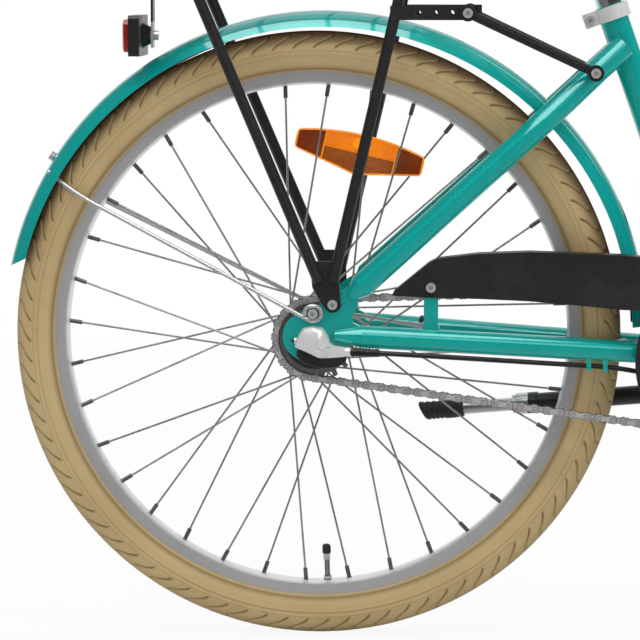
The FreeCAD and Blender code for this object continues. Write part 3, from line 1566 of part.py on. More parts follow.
def kickstand_leg():
    # A knuckle on the hinge pin, the black upper leg, and the narrower leg that slides in it.
    radius = stand_leg_diameter / 2
    knuckle = cylinder(
        on_stand_axis(-stand_knuckle_half), on_stand_axis(stand_knuckle_half), stand_knuckle_radius
    )
    upper_end = stand_leg_length * 0.66
    upper = cylinder(on_stand(0), on_stand(upper_end), radius + 1.8)
    lower = cylinder(
        on_stand(upper_end - 5), on_stand(stand_leg_length - stand_foot_length + 8), radius - 1.0
    )
    plate = cylinder(on_stand(upper_end - 26), on_stand(upper_end - 4), radius + 3.2)
    leg = knuckle.fuse([upper, plate, lower])
    bore = cylinder(on_stand_axis(-30), on_stand_axis(30), stand_pin_radius + 0.1)
    return leg.cut(bore)


def kickstand_foot():
    # A rubber shoe over the end of the leg.
    radius = stand_leg_diameter / 2
    start = stand_leg_length - stand_foot_length
    shoe = cylinder(on_stand(start), on_stand(stand_leg_length), radius + 2.4)
    bore = cylinder(on_stand(start - 1), on_stand(start + 8 + fit_gap), radius - 1.0 + fit_gap)
    return shoe.cut(bore)


# Seat
post_top = seat_tube_length + seat_post_length - seat_post_insert


def saddle(x, y, z):
    # A point given from the top of the seat post.
    return seat(post_top).add(Vector(x, y, z))


rail_y = 21.0
rail_radius = 3.5
rail_level = 6.0
spring_x = -78.0
spring_y = 52.0
spring_base = rail_level + rail_radius + 2.2
pan_level = spring_base + spring_height + 2.4


def seat_post():
    # A tube that slides in the seat tube, with the clamp that grips the saddle's rails.
    radius = seat_post_diameter / 2
    low = seat_tube_length - seat_post_insert
    tube = pipe(seat(low), seat(post_top), radius, radius - 2.2)
    barrel = cross_bar(saddle(0, 0, rail_level), -rail_y - 9.0, rail_y + 9.0, 13.0)
    neck = cylinder(seat(post_top - 16), saddle(0, 0, rail_level), radius + 2.6)
    neck = neck.cut(cylinder(seat(post_top - 40), seat(post_top - 8), radius - 2.2))
    bolt_ends = cross_bar(saddle(0, 0, rail_level), -rail_y - 15.0, rail_y + 15.0, 6.0)
    grooves = [
        cylinder(
            saddle(-60, s * rail_y, rail_level), saddle(60, s * rail_y, rail_level), rail_radius + fit_gap
        )
        for s in (-1, 1)
    ]
    return tube.fuse([neck, barrel, bolt_ends]).cut(grooves)


def saddle_rail(side):
    # A bent rod from under the nose, through the clamp, to the foot of a spring.
    line = [
        saddle(126, side * 8, pan_level - 16), saddle(60, side * rail_y, rail_level), saddle(
            -34, side * rail_y, rail_level
        ),
        saddle(spring_x + 4, side * spring_y, rail_level), saddle(
            spring_x - 12, side * (spring_y + 8), rail_level
        ),
    ]
    return sweep(bent_wire(line, [30.0, 18.0, 6.0]), rail_radius)


def spring_seats(side):
    # The washers at the two ends of a saddle spring.
    seats = []
    for low, high in (
        (spring_base - 2.0, spring_base - fit_gap),
        (spring_base + spring_height + fit_gap, pan_level - fit_gap)
    ):
        seats.append(
            cylinder(
                saddle(spring_x, side * spring_y, low), saddle(spring_x, side * spring_y, high),
                spring_diameter / 2
            )
        )
    return seats


def saddle_section(x, half_width, floor, side_height, crown):
    # A cross section with a flat floor, drawn-in sides and a crowned top.
    h = half_width
    low_y = h - min(6.0, h * 0.2)
    corners = [
        saddle(x, -low_y, floor), saddle(x, -h, floor + side_height), saddle(x, h, floor + side_height),
        saddle(x, low_y, floor)
    ]
    crown_point = saddle(x, 0, floor + side_height + crown)
    left_bulge = saddle(x, -h - 0.8, floor + side_height * 0.5)
    right_bulge = saddle(x, h + 0.8, floor + side_height * 0.5)
    edges = [
        arc_edge(corners[0], left_bulge, corners[1]),
        arc_edge(corners[1], crown_point, corners[2]),
        arc_edge(corners[2], right_bulge, corners[3]),
        line_edge(corners[3], corners[0]),
    ]
    return Part.Wire(edges)


def saddle_stations(lift, shrink):
    # Cross sections from the tail to the nose: wide at the back, narrow in front.
    w = saddle_width / 2
    back = spring_x - 34.0
    shape = [(0.0, 0.62), (0.08, 0.93), (0.24, 1.0), (0.42, 0.80), (0.60, 0.45), (0.80, 0.26), (1.0, 0.15)]
    for share, wide in shape:
        x = back + saddle_length * share
        nose_drop = 12.0 * max(0.0, share - 0.45) / 0.55
        yield x, w * wide - shrink, pan_level + lift - nose_drop


def saddle_cover():
    # The padded top.
    wires = []
    for x, half, floor in saddle_stations(3.2, 0.0):
        wide = half / (saddle_width / 2)
        wires.append(
            saddle_section(
                x, half, floor, saddle_height * (0.38 + 0.1 * wide), saddle_height * (0.16 + 0.18 * wide)
            )
        )
    return Part.makeLoft(wires, True, False)


def saddle_pan():
    # The stiff base under the padding.
    wires = []
    for x, half, floor in saddle_stations(0.0, 9.0):
        corners = [saddle(0, s * half, 0) for s in (-1, 1)]
        low, high = saddle(x, 0, floor).z, saddle(x, 0, floor + 3.0).z
        px = saddle(x, 0, 0).x
        points = [
            Vector(px, corners[0].y, low), Vector(px, corners[0].y, high), Vector(px, corners[1].y, high),
            Vector(px, corners[1].y, low)
        ]
        wires.append(Part.makePolygon(points + points[:1]))
    return Part.makeLoft(wires, True, True)


def saddle_frame():
    pieces = [saddle_pan()]
    for side in (-1, 1):
        rail = saddle_rail(side)
        pieces.append(rail.cut(pieces[0]))
        low, high = spring_seats(side)
        pieces.append(low.cut(rail))
        pieces.append(high)
    return pieces


def biarc(start, start_heading, end, end_heading):
    # Two tangent arcs between two points with given headings.
    chord = end.sub(start)
    both = start_heading.add(end_heading)
    square = 2 * (1 - start_heading.dot(end_heading))
    lean = chord.dot(both)
    reach = (-lean + math.sqrt(lean ** 2 + square * chord.dot(chord))) / square
    middle = start.add(end).add(start_heading.sub(end_heading).multiply(reach)).multiply(0.5)
    return [
        arc_from(start, start_heading, middle),
        arc_from(end, Vector(end_heading).multiply(-1), middle, True)
    ]


def arc_from(start, heading, end, backwards=False):
    # The arc that leaves a point along a heading and reaches another point.
    chord = end.sub(start)
    along = Vector(chord).normalize()
    lean = math.acos(max(-1.0, min(1.0, heading.dot(along))))
    bulge = heading.sub(Vector(along).multiply(heading.dot(along))).normalize()
    top = start.add(Vector(chord).multiply(0.5)).add(bulge.multiply(chord.Length / 2 * math.tan(lean / 2)))
    return arc_edge(end, top, start) if backwards else arc_edge(start, top, end)


def coil_point(turn):
    radius = (spring_diameter - spring_wire) / 2 - 1.0
    rise = spring_height - spring_wire
    return Vector(
        radius * cos(360 * turn), radius * sin(360 * turn), spring_wire / 2 + rise * turn / spring_turns
    )


def coil_heading(turn):
    radius = (spring_diameter - spring_wire) / 2 - 1.0
    rise = (spring_height - spring_wire) / spring_turns
    around = 2 * math.pi * radius
    return Vector(-around * sin(360 * turn), around * cos(360 * turn), rise).normalize()


def saddle_spring(side):
    # An open coil wound on quarter-turn arcs.
    edges = []
    quarters = int(round(spring_turns * 4))
    for k in range(quarters):
        a, b = k / 4, (k + 1) / 4
        edges += biarc(coil_point(a), coil_heading(a), coil_point(b), coil_heading(b))
    coil = sweep(Part.Wire(edges), spring_wire / 2)
    coil.translate(saddle(spring_x, side * spring_y, spring_base))
    return coil


def coil_gap():
    # The least room between neighbouring turns, from points along the wire.
    places = [coil_point(k / 48) for k in range(int(spring_turns * 48) + 1)]
    gaps = []
    for i, a in enumerate(places):
        for b in places[i + 24:]:
            gaps.append(a.distanceToPoint(b) - spring_wire)
    return min(gaps)


# Fork, stem and handlebar

fork_bend_share = 140 / 345
fork_bend_radius = crown_top * 2 / 3


def fork_blade_line(side):
    return [
        steer(crown_top - 9, side * 4.0),
        steer(crown_top - 35, side * 47.0),
        steer(crown_top * fork_bend_share, side * 48.5),
        steer(46, side * 52.5, 27.0),
    ]


def fork_end(side):
    # A plate at the foot of a blade, with a slot for the axle.
    inner, outer = sorted((side * front_hub_spacing / 2, side * (front_hub_spacing / 2 + fork_end_thickness)))
    _, _, _, foot = fork_blade_line(side)
    axle = front(0, 0, 0)
    along = Vector(foot.x - axle.x, 0, foot.z - axle.z)
    cross = Vector(-along.z, 0, along.x).normalize().multiply(11.0)
    far = Vector(axle.x, 0, axle.z).add(Vector(along).multiply(1.5))
    corners = [axle.sub(cross), far.sub(cross), far.add(cross), axle.add(cross)]
    for point in corners:
        point.y = 0
    plate = plate_outline(polygon_edges(corners + corners[:1]), inner, outer)
    plate = plate.fuse(cross_bar(axle, inner, outer, 14.0))
    slot_radius = front_axle_diameter / 2 + fit_gap
    mouth = box_between(front(-slot_radius, inner - 1, -40), front(slot_radius, outer + 1, 0))
    return plate.cut([cross_bar(axle, inner - 1, outer + 1, slot_radius), mouth])


def fork():
    # Steerer, shoulders and two raked blades.
    radius = fork_blade_diameter / 2
    steerer = cylinder(steer(crown_top - 14), steer(head_high + 24), steerer_diameter / 2)
    race = cylinder(steer(crown_top - 14), steer(crown_top + 2.4), head_tube_diameter / 2 + 1.5)
    solids = [race]
    hollows = [cylinder(steer(crown_top - 4), steer(head_high + 30), steerer_diameter / 2 - steerer_wall)]
    for side in (-1, 1):
        line = fork_blade_line(side)
        wire = bent_wire(line, [26.0, fork_bend_radius])
        solids.append(sweep(wire, radius))
        out = line[3].sub(line[2])
        solids.append(Part.makeCone(radius, 6.0, 18.0, line[3], out))
        solids.append(fork_end(side))
        hollows.append(sweep(wire, radius - stay_wall))
    crown = steer(crown_top - 16)
    inward = front(0, 0, 0).sub(crown)
    foot = front(0, 0, 0).sub(Vector(inward).normalize().multiply(fender_radius + fit_gap))
    solids.append(cylinder(crown, foot, 7.0))
    room = [cross_bar(front(0, 0, 0), -70, 70, front_axle_diameter / 2 + fit_gap)]
    slots = []
    for side in (-1, 1):
        slot_radius = front_axle_diameter / 2 + fit_gap
        low, high = sorted((side * 48.0, side * 58.0))
        slots.append(box_between(front(-slot_radius, low, -40), front(slot_radius, high, 0)))
    inner_clear = []
    for side in (-1, 1):
        low, high = sorted((side * 20.0, side * (front_hub_spacing / 2)))
        inner_clear.append(box_between(front(-45, low, -30), front(45, high, 42)))
    body = steerer.fuse(solids).cut(hollows)
    plugs = [cylinder(steer(crown_top - 14), steer(crown_top - 4), steerer_diameter / 2)]
    return body.fuse(plugs).cut(room + slots + inner_clear)


def headset_nuts():
    # The screwed race and the lock nut on top of the head.
    bore = cylinder(steer(head_high), steer(head_high + 40), steerer_diameter / 2 + fit_gap)
    race = cylinder(steer(head_high + 7.0 + running_gap), steer(head_high + 14.0), head_tube_diameter / 2)
    nut = hex_prism(steer(head_high + 14.0 + fit_gap), steer_axis, 31.0, 9.0)
    return [race.cut(bore), nut.cut(bore)]


stem_top = head_high + stem_rise
bar_centre = steer(stem_top, 0, stem_reach)


def stem():
    # A quill that stands in the steerer, reaching forward to the handlebar clamp.
    quill_radius = steerer_diameter / 2 - steerer_wall - fit_gap
    quill = cylinder(steer(head_high - 70), steer(stem_top + 4), quill_radius)
    reach = cylinder(steer(stem_top - 6), bar_centre, 13.0)
    head = cylinder(steer(stem_top - 22), steer(stem_top + 8), quill_radius + 3.5)
    clamp = cross_bar(bar_centre, -20.0, 20.0, handlebar_diameter / 2 + 6.0)
    bolt_top = cylinder(steer(stem_top + 8), steer(stem_top + 13), 7.0)
    bore = cross_bar(bar_centre, -30.0, 30.0, handlebar_diameter / 2 + fit_gap)
    return quill.fuse([reach, head, clamp, bolt_top]).cut(bore)


def bar(x, y, z):
    # A point given from the middle of the handlebar clamp.
    return bar_centre.add(Vector(x, y, z))


def bar_line():
    right = [
        bar(-handlebar_sweep, -handlebar_half_width, handlebar_rise - 12), bar(
            12, -handlebar_half_width * 0.80, handlebar_rise
        ),
        bar(22, -handlebar_half_width * 0.44, handlebar_rise * 0.84), bar(0, -46, 0),
    ]
    return right + [Vector(p.x, -p.y, p.z) for p in reversed(right)]


def handlebar():
    radius = handlebar_diameter / 2
    wire = bent_wire(bar_line(), [62.0, 48.0, 34.0, 34.0, 48.0, 62.0])
    return sweep(wire, radius).cut(sweep(wire, radius - 1.6))


def grip_point(side, distance):
    # A point along the straight end of the handlebar, measured in from its tip.
    line = bar_line()
    tip, corner = (line[0], line[1]) if side < 0 else (line[-1], line[-2])
    return tip.add(corner.sub(tip).normalize().multiply(distance))


def grip(side, start, end, cap):
    # A sleeve over the end of the bar, ringed at both ends.
    radius = grip_diameter / 2
    tip = grip_point(side, -3.5)
    outer = cylinder(tip if cap else grip_point(side, start), grip_point(side, end), radius)
    flange = cylinder(grip_point(side, end - 4.0), grip_point(side, end), radius + 3.0)
    bore = cylinder(
        grip_point(side, -0.2 if cap else start - 1), grip_point(side, end + 1),
        handlebar_diameter / 2 + fit_gap
    )
    return outer.fuse(flange).cut(bore)


twist_start = grip_length - twist_sleeve_length


def grips():
    return [grip(1, 0, grip_length, True), grip(-1, 0, twist_start - 1.0, True)]


def twist_sleeve():
    # The ribbed sleeve that the rider turns to change gear.
    radius = grip_diameter / 2 + 0.6
    start, end = twist_start, grip_length
    sleeve = cylinder(grip_point(-1, start), grip_point(-1, end), radius)
    collar = cylinder(grip_point(-1, end - 9.0), grip_point(-1, end), radius + 2.6)
    along = grip_point(-1, end).sub(grip_point(-1, start)).normalize()
    side = along.cross(up).normalize()
    grooves = []
    for k in range(18):
        middle = FreeCAD.Rotation(along, 20.0 * k).multVec(side).multiply(radius + 0.5)
        low, high = grip_point(-1, start + 4).add(middle), grip_point(-1, end - 12).add(middle)
        grooves.append(cylinder(low, high, 1.4))
    bore = cylinder(grip_point(-1, start - 1), grip_point(-1, end + 1), handlebar_diameter / 2 + running_gap)
    return sleeve.fuse(collar).cut(grooves + [bore])


housing_start = grip_length + running_gap
housing_end = grip_length + 22.0
housing_drop = 15.0


def shifter_frame():
    # The along, forward and up directions of the gear changer.
    along = grip_point(-1, housing_end).sub(grip_point(-1, housing_start)).normalize()
    lift = up.sub(Vector(along).multiply(along.dot(up))).normalize()
    return along, along.cross(lift), lift


def shifter_housing():
    # A clamp beside the twist sleeve, with a raised gear window and a spout for the cable.
    along, across, lift = shifter_frame()
    start, end = grip_point(-1, housing_start), grip_point(-1, housing_end)
    body = cylinder(start, end, grip_diameter / 2 + 3.0)
    window = cylinder(start, start.add(Vector(along).multiply(15.0)), 9.0)
    window.translate(Vector(lift).multiply(15.0))
    spout_start = start.add(Vector(along).multiply(10.0)).sub(Vector(lift).multiply(housing_drop))
    spout = cylinder(spout_start, spout_start.add(Vector(along).multiply(26.0)), cable_diameter / 2 + 2.4)
    bore = cylinder(
        grip_point(-1, housing_start - 5), grip_point(-1, housing_end + 40),
        handlebar_diameter / 2 + fit_gap
    )
    socket_start = spout_start.add(Vector(along).multiply(12.0))
    socket = cylinder(
        socket_start, spout_start.add(Vector(along).multiply(40.0)), cable_diameter / 2 + hole_gap
    )
    return body.fuse([window, spout]).cut([bore, socket])


def shift_cable_front():
    # The free loop from the down tube, round the head of the frame, to the gear changer.
    stop, corner, _ = down_tube_cable()
    rise = stop.sub(corner).normalize()
    along, _, lift = shifter_frame()
    spout = grip_point(-1, housing_start).add(Vector(along).multiply(23.0)).sub(
        Vector(lift).multiply(housing_drop)
    )
    lead = spout.add(Vector(along).multiply(120.0))
    start = stop.add(Vector(rise).multiply(0.5))
    line = [
        start, stop.add(Vector(rise).multiply(70.0)), steer(head_low + 60, -70.0, 70.0),
        steer(head_high + 50, -90.0, 92.0), lead, spout
    ]
    line[1].y = -cable_side - 8.0
    return sweep(bent_wire(line, [60.0, 90.0, 60.0, 55.0]), cable_diameter / 2)


# Front wheel fittings
front_end_outer = front_hub_spacing / 2 + fork_end_thickness
front_eye_y = front_end_outer + fender_stay_diameter / 2 + 1.8


def front_axle():
    radius = front_axle_diameter / 2
    reach = front_eye_y + fender_stay_diameter / 2 + fit_gap
    rod = cross_bar(front(0, 0, 0), -reach - 11.0, reach + 11.0, radius)
    pieces = []
    for side in (-1, 1):
        inner = side * front_hub_spacing / 2
        pieces.append(cross_bar(front(0, 0, 0), inner - side * 6.0, inner, 8.0))
        pieces.append(cross_bar(front(0, 0, 0), side * reach, side * (reach + 1.6), 9.5))
        pieces.append(hex_prism(front(0, side * (reach + 1.6), 0), Vector(0, side, 0), 15.0, 7.0))
    return rod.fuse(pieces)


def front_fender_stays():
    angle = 168.0
    corner = fender_point(front(0, 0, 0), wheel_radius + 11.0, angle, 17.0)
    knee = fender_point(front(0, 0, 0), tyre_centre + 6.5, angle, stay_knee_y)
    return fender_stay(front(0, 0, 0), front_eye_y, front_axle_diameter / 2, knee, corner)


def frame_bolts():
    # Every socket-head bolt on the frame, resting on the piece that it holds.
    bolts = []
    for side in (-1, 1):
        out = Vector(0, side, 0)
        x, z = rack_bolt_place
        bolts.append(bolt(rear(x, side * (dropout_outer + 3.2 + fit_gap), z), out, 11.0))
        x, z = fender_bolt_place
        bolts.append(bolt(rear(x, side * (rear_eye_y + fender_stay_diameter / 2 + fit_gap), z), out, 11.0))
        start, end = arm_ends(side)
        bolts.append(bolt(start, out, rack_arm_diameter + 6.0))
        bolts.append(bolt(end, out, rack_arm_diameter + 8.0))
    bolts.append(bolt(rear(tab_x, -guard_y - guard_wall - fit_gap, tab_bolt_z), Vector(0, -1, 0), 5.8))
    bolts.append(bolt(clamp_bolt_point(), Vector(0, -1, 0), 20.0))
    crown = fender_point(rear_fender_centre, fender_radius + fit_gap, rear_stay_angle - 2.5, 0)
    bolts.append(bolt(crown, crown.sub(rear_fender_centre), 5.0))
    bolts.append(bolt(rear(lens_x + 24.2 + 2 * fit_gap, 0, lens_z), Vector(1, 0, 0), 6.0))
    bolts.append(bolt(stand_bolt_point(), up, 18.0))
    bolts.append(bolt(clip_bolt_point(), Vector(0, -1, 0), 4.2))
    return bolts


# All pieces, by node
rear_lacing = Lacing(rear_flange_circle, rear_flange_spacing)
front_lacing = Lacing(front_flange_circle, front_flange_spacing)


def rear_hub_shell():
    bore = rear_axle_diameter / 2 + running_gap
    right_end = rear_flange_spacing / 2 + flange_thickness / 2 + 8.0
    shell = hub_shell(
        rear_lacing, rear_shell_diameter, arm_plane - arm_thickness - 1.0, right_end, 42.0, bore
    )
    shell.translate(rear(0, 0, 0))
    return shell


def front_hub_shell():
    bore = front_axle_diameter / 2 + running_gap
    end = front_hub_spacing / 2 - 6.0 - running_gap
    shell = hub_shell(front_lacing, front_shell_diameter, end, end, 24.0, bore)
    shell.translate(front(0, 0, 0))
    return shell


def all_nodes():
    nodes = {
        "head_tube": [head_tube()],
        "upper_tube": [upper_tube()],
        "down_tube": [down_tube()],
        "seat_tube": [seat_tube()],
        "bottom_bracket_shell": [bottom_bracket_shell()],
        "chainstays": [chainstay(-1), chainstay(1)],
        "seatstays": [seatstay(-1), seatstay(1)],
        "dropouts": [dropout(-1), dropout(1)],
        "frame_bridges": frame_bridges(),
        "seat_clamp": [seat_clamp()],
        "bearing_cups": bearing_cups(),
        "rear_fender": [rear_fender()],
        "rear_fender_stays": [rear_fender_stays()],
        "rack_frame": rack_frame(),
        "rack_struts": [rack_strut_pair(-1), rack_strut_pair(1), rack_arm(-1), rack_arm(1)],
        "tail_reflector_housing": tail_reflector_housing(),
        "tail_reflector_lens": [tail_reflector_lens()],
        "chain_guard": [chain_guard(), guard_strap()],
        "chain": chain(),
        "rear_axle": [rear_axle()],
        "hub_dust_cap": [hub_dust_cap()],
        "shift_joint_cover": shift_joint_cover(),
        "brake_arm": brake_arm(),
        "shift_cable": [shift_cable()],
        "kickstand_bracket": [kickstand_bracket()],
        "frame_bolts": frame_bolts(),
        "seat_post": [seat_post()],
        "saddle_cover": [saddle_cover()],
        "saddle_frame": saddle_frame(),
        "saddle_springs": [saddle_spring(-1), saddle_spring(1)],
        "fork": [fork()],
        "headset_nuts": headset_nuts(),
        "stem": [stem()],
        "handlebar": [handlebar()],
        "grips": grips(),
        "shifter_housing": [shifter_housing()],
        "front_fender": [fender(front(0, 0, 0), front_fender_front_angle, front_fender_rear_angle)],
        "front_fender_stays": [front_fender_stays()],
        "front_axle": [front_axle()],
        "shift_cable_front": [shift_cable_front()],
        "twist_sleeve": [twist_sleeve()],
        "front_hub_shell": [front_hub_shell()],
        "rear_hub_shell": [rear_hub_shell()],
        "rear_sprocket": [rear_sprocket()],
        "chainring": [chainring()],
        "crank_arms": [crank_arm(-1), crank_arm(1), crank_spindle()],
        "left_pedal": [pedal(1)],
        "right_pedal": [pedal(-1)],
        "kickstand_leg": [kickstand_leg()],
        "kickstand_foot": [kickstand_foot()],
    }
    for name, shapes in wheel(rear_lacing, rear(0, 0, 0), 13.0).items():
        nodes["rear_" + name] = shapes
    for name, shapes in wheel(front_lacing, front(0, 0, 0), 150.0).items():
        nodes["front_" + name] = shapes
    return nodes


os.makedirs("parts", exist_ok=True)
for node, shapes in all_nodes().items():
    whole = shapes[0] if len(shapes) == 1 else Part.makeCompound(shapes)
    whole.exportStep("parts/" + node + ".step")
print("centre distance %.3f, rear axle x %.3f, front axle x %.3f" % (chainstay_length, rear_x, front_x))
print("least gap between the saddle spring's turns %.2f mm" % coil_gap())
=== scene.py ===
import functools
import math

import bpy
import numpy as np
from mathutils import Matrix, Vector


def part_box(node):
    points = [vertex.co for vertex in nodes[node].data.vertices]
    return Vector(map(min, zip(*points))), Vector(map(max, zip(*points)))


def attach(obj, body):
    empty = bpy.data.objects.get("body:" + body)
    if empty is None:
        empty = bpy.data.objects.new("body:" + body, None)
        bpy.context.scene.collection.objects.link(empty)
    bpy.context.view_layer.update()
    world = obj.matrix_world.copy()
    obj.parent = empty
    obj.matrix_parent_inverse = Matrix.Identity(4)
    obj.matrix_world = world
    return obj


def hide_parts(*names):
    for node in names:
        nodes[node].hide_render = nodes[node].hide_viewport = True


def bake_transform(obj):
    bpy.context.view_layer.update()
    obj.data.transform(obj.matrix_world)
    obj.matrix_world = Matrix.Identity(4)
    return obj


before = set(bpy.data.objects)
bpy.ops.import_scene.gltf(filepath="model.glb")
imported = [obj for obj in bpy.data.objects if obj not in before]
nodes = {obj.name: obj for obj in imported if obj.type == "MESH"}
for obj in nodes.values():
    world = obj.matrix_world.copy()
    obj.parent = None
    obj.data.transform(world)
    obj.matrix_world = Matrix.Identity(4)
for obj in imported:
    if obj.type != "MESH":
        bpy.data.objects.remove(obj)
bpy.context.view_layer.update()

rearAxle = np.array([-0.501996, 0.0, 0.300])
frontAxle = np.array([0.508003, 0.0, 0.300])
crankAxle = np.array([-0.094358, 0.0, 0.280])
print("frame loaded,", len(nodes), "nodes")


# Meshes from grids

def gridShell(points, closeRows=False, closeCols=False, caps=False, paint=0):
    # points[row, col] joined into quads; a cap is a fan from the mean of an end row
    rows, cols = points.shape[:2]
    r = np.arange(rows if closeRows else rows - 1)
    c = np.arange(cols if closeCols else cols - 1)
    rr, cc = np.meshgrid(r, c, indexing="ij")
    rn, cn = (rr + 1) % rows, (cc + 1) % cols
    quads = np.stack([rr * cols + cc, rn * cols + cc, rn * cols + cn, rr * cols + cn], -1).reshape(-1, 4)
    verts = points.reshape(-1, 3)
    tris = np.zeros((0, 3), int)
    if caps:
        middle = np.stack([points[0].mean(0), points[-1].mean(0)])
        ring = np.arange(cols)
        follow = (ring + 1) % cols
        first = np.stack([np.full(cols, len(verts)), ring, follow], -1)
        last = np.stack([np.full(cols, len(verts) + 1), (rows - 1) * cols + follow, (rows - 1) * cols + ring], -1)
        verts = np.concatenate([verts, middle])
        tris = np.concatenate([first, last])
    split = np.concatenate([quads[:, [0, 1, 2]], quads[:, [0, 2, 3]], tris])
    a, b, d = verts[split[:, 0]], verts[split[:, 1]], verts[split[:, 2]]
    if np.einsum("ij,ij->", a - verts.mean(0), np.cross(b - verts.mean(0), d - verts.mean(0))) < 0:
        quads, tris = quads[:, ::-1], tris[:, ::-1]
    return {"verts": verts, "quads": quads, "tris": tris, "paint": paint, "masks": {}}


def addObject(name, data):
    holder = bpy.data.objects.new(name, data)
    bpy.context.scene.collection.objects.link(holder)
    return holder


def makePiece(name, shells, finishes, body=None, stands=(), smooth=40.0):
    # several shells become one mesh, its place in its vertices
    verts, faces, paints, start = [], [], [], 0
    for shell in shells:
        verts.append(shell["verts"])
        for kind in ("quads", "tris"):
            if len(shell[kind]):
                faces += (shell[kind] + start).tolist()
                paints.append(np.full(len(shell[kind]), shell["paint"]))
        start += len(shell["verts"])
    mesh = bpy.data.meshes.new(name)
    mesh.from_pydata(np.concatenate(verts).tolist(), [], faces)
    mesh.polygons.foreach_set("material_index", np.concatenate(paints).astype(np.int32))
    for key in sorted({k for shell in shells for k in shell["masks"]}):
        whole = np.concatenate([s["masks"].get(key, np.zeros(len(s["verts"]))) for s in shells])
        mesh.attributes.new(key, "FLOAT", "POINT").data.foreach_set("value", whole.astype(np.float32))
    for finish in finishes:
        mesh.materials.append(finish)
    mesh.shade_smooth()
    mesh.set_sharp_from_angle(angle=math.radians(smooth))
    piece = addObject(name, mesh)
    if body:
        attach(piece, body)
    if stands:
        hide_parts(*stands)
    return piece


def unit(vectors):
    # the same directions, each with a length of one
    vectors = np.asarray(vectors, float)
    return vectors / np.linalg.norm(vectors, axis=-1, keepdims=True)


def circle(first, second, around):
    # unit circle in the plane of two directions, or one for each pair of them
    turn = np.linspace(0, 2 * np.pi, around, endpoint=False)[:, None]
    return np.cos(turn) * first[..., None, :] + np.sin(turn) * second[..., None, :]


def sideways(heading):
    # two unit vectors square to each heading, carried from station to station with as little turn as they can
    spare = (0.0, 0.0, 1.0) if abs(heading[0][2]) < 0.9 else (0.0, 1.0, 0.0)
    carried = [np.cross(heading[0], spare)]
    for ahead in heading[1:]:
        carried.append(carried[-1] - ahead * carried[-1].dot(ahead))
    first = unit(carried)
    return first, np.cross(heading, first)


def pathTube(path, radius, around=14):
    # a circle carried along a path; radius is one number or one for each point
    ring = circle(*sideways(unit(np.gradient(path, axis=0))), around)
    size = np.broadcast_to(np.asarray(radius, float), (len(path),))
    return gridShell(path[:, None] + ring * size[:, None, None], closeCols=True, caps=True)


def turned(start, along, lengths, radii, around=32, paint=0):
    # a profile of radii at given lengths, turned round the line from start; a row of radii makes ribs
    path = np.asarray(start) + np.outer(lengths, along)
    first = unit(np.cross(along, (0.0, 0.0, 1.0) if abs(along[2]) < 0.9 else (1.0, 0.0, 0.0)))
    ring = circle(first, np.cross(along, first), around)
    size = np.asarray(radii, float).reshape(len(path), -1, 1)
    return gridShell(path[:, None] + ring * size, closeCols=True, caps=True, paint=paint)


def copies(shell, origins, along):
    # the same shell set at every origin, its x axis turned along the direction given there
    up = np.stack([-along[:, 2], np.zeros(len(along)), along[:, 0]], -1)
    v = shell["verts"]
    side = np.array([0.0, 1.0, 0.0])
    verts = origins[:, None] + v[None, :, :1] * along[:, None] + v[None, :, 1:2] * side + v[None, :, 2:] * up[:, None]
    shift = (np.arange(len(origins)) * len(v))[:, None, None]
    faces = {kind: (shell[kind] + shift).reshape(-1, size) for kind, size in (("quads", 4), ("tris", 3))}
    masks = {key: np.tile(value, len(origins)) for key, value in shell["masks"].items()}
    return dict(shell, verts=verts.reshape(-1, 3), masks=masks, **faces)


def runOf(path):
    # length along the path up to each of its points
    return np.concatenate([[0], np.cumsum(np.linalg.norm(np.diff(path, axis=0), axis=1))])


def roundedLoop(corners, count, spread):
    # a closed outline sampled evenly, each point then averaged with its neighbours so that corners are round
    closed = np.concatenate([corners, corners[:1]])
    run = runOf(closed)
    at = np.linspace(0, run[-1], count, endpoint=False)
    loop = np.stack([np.interp(at, run, closed[:, k]) for k in range(closed.shape[1])], -1)
    weights = np.hanning(2 * spread + 3)[1:-1]
    return sum(w * np.roll(loop, k - spread, axis=0) for k, w in enumerate(weights)) / weights.sum()


def roundedLine(points, cuts, steps=9):
    # straight runs joined by quadratic bends that begin the given distance before each corner
    bend = np.linspace(0, 1, steps)[:, None]
    parts = [points[0][None]]
    for before, corner, after, cut in zip(points, points[1:], points[2:], cuts):
        p = corner + unit(before - corner) * cut
        q = corner + unit(after - corner) * cut
        parts.append((1 - bend) ** 2 * p + 2 * bend * (1 - bend) * corner + bend ** 2 * q)
    parts.append(points[-1][None])
    return np.concatenate(parts)


def mound(edge, middle, start, heightOf, paint=0):
    # outline drawn in towards its middle row by row: a wall, a rounded shoulder, then a top that follows a height
    shrink = np.array([1, 1, 0.985, 0.955, 0.91, 0.78, 0.6, 0.4, 0.2])
    share = np.array([0, 0.72, 0.86, 0.95, 1, 1, 1, 1, 1.0])
    flat = middle + shrink[:, None, None] * (edge - middle)
    depth = share[:, None] * heightOf(flat[..., 0], flat[..., 1])
    points = np.stack([rearAxle[0] + flat[..., 0], -start - depth, rearAxle[2] + flat[..., 1]], -1)
    return gridShell(points, closeCols=True, caps=True, paint=paint)


def wheelPoints(centre, radius, side, turn):
    # points at a radius and turn about a wheel's axle and a distance along it
    radius, side, turn = np.broadcast_arrays(radius, side, turn)
    return centre + np.stack([radius * np.cos(turn), side, radius * np.sin(turn)], -1)


def smoothStep(low, high, value):
    # 0 below low, 1 above high, an S curve between
    t = np.clip((value - low) / (high - low), 0, 1)
    return t * t * (3 - 2 * t)


def plateau(value, up, down):
    # rises from 0 to 1 over the span up and falls back to 0 over the span down
    return smoothStep(*up, value) * (1 - smoothStep(*down, value))


def bell(value, middle, width):
    # a rounded bump of height 1 at the middle
    return np.exp(-((value - middle) / width) ** 2)


# Shared effects, as shader node groups

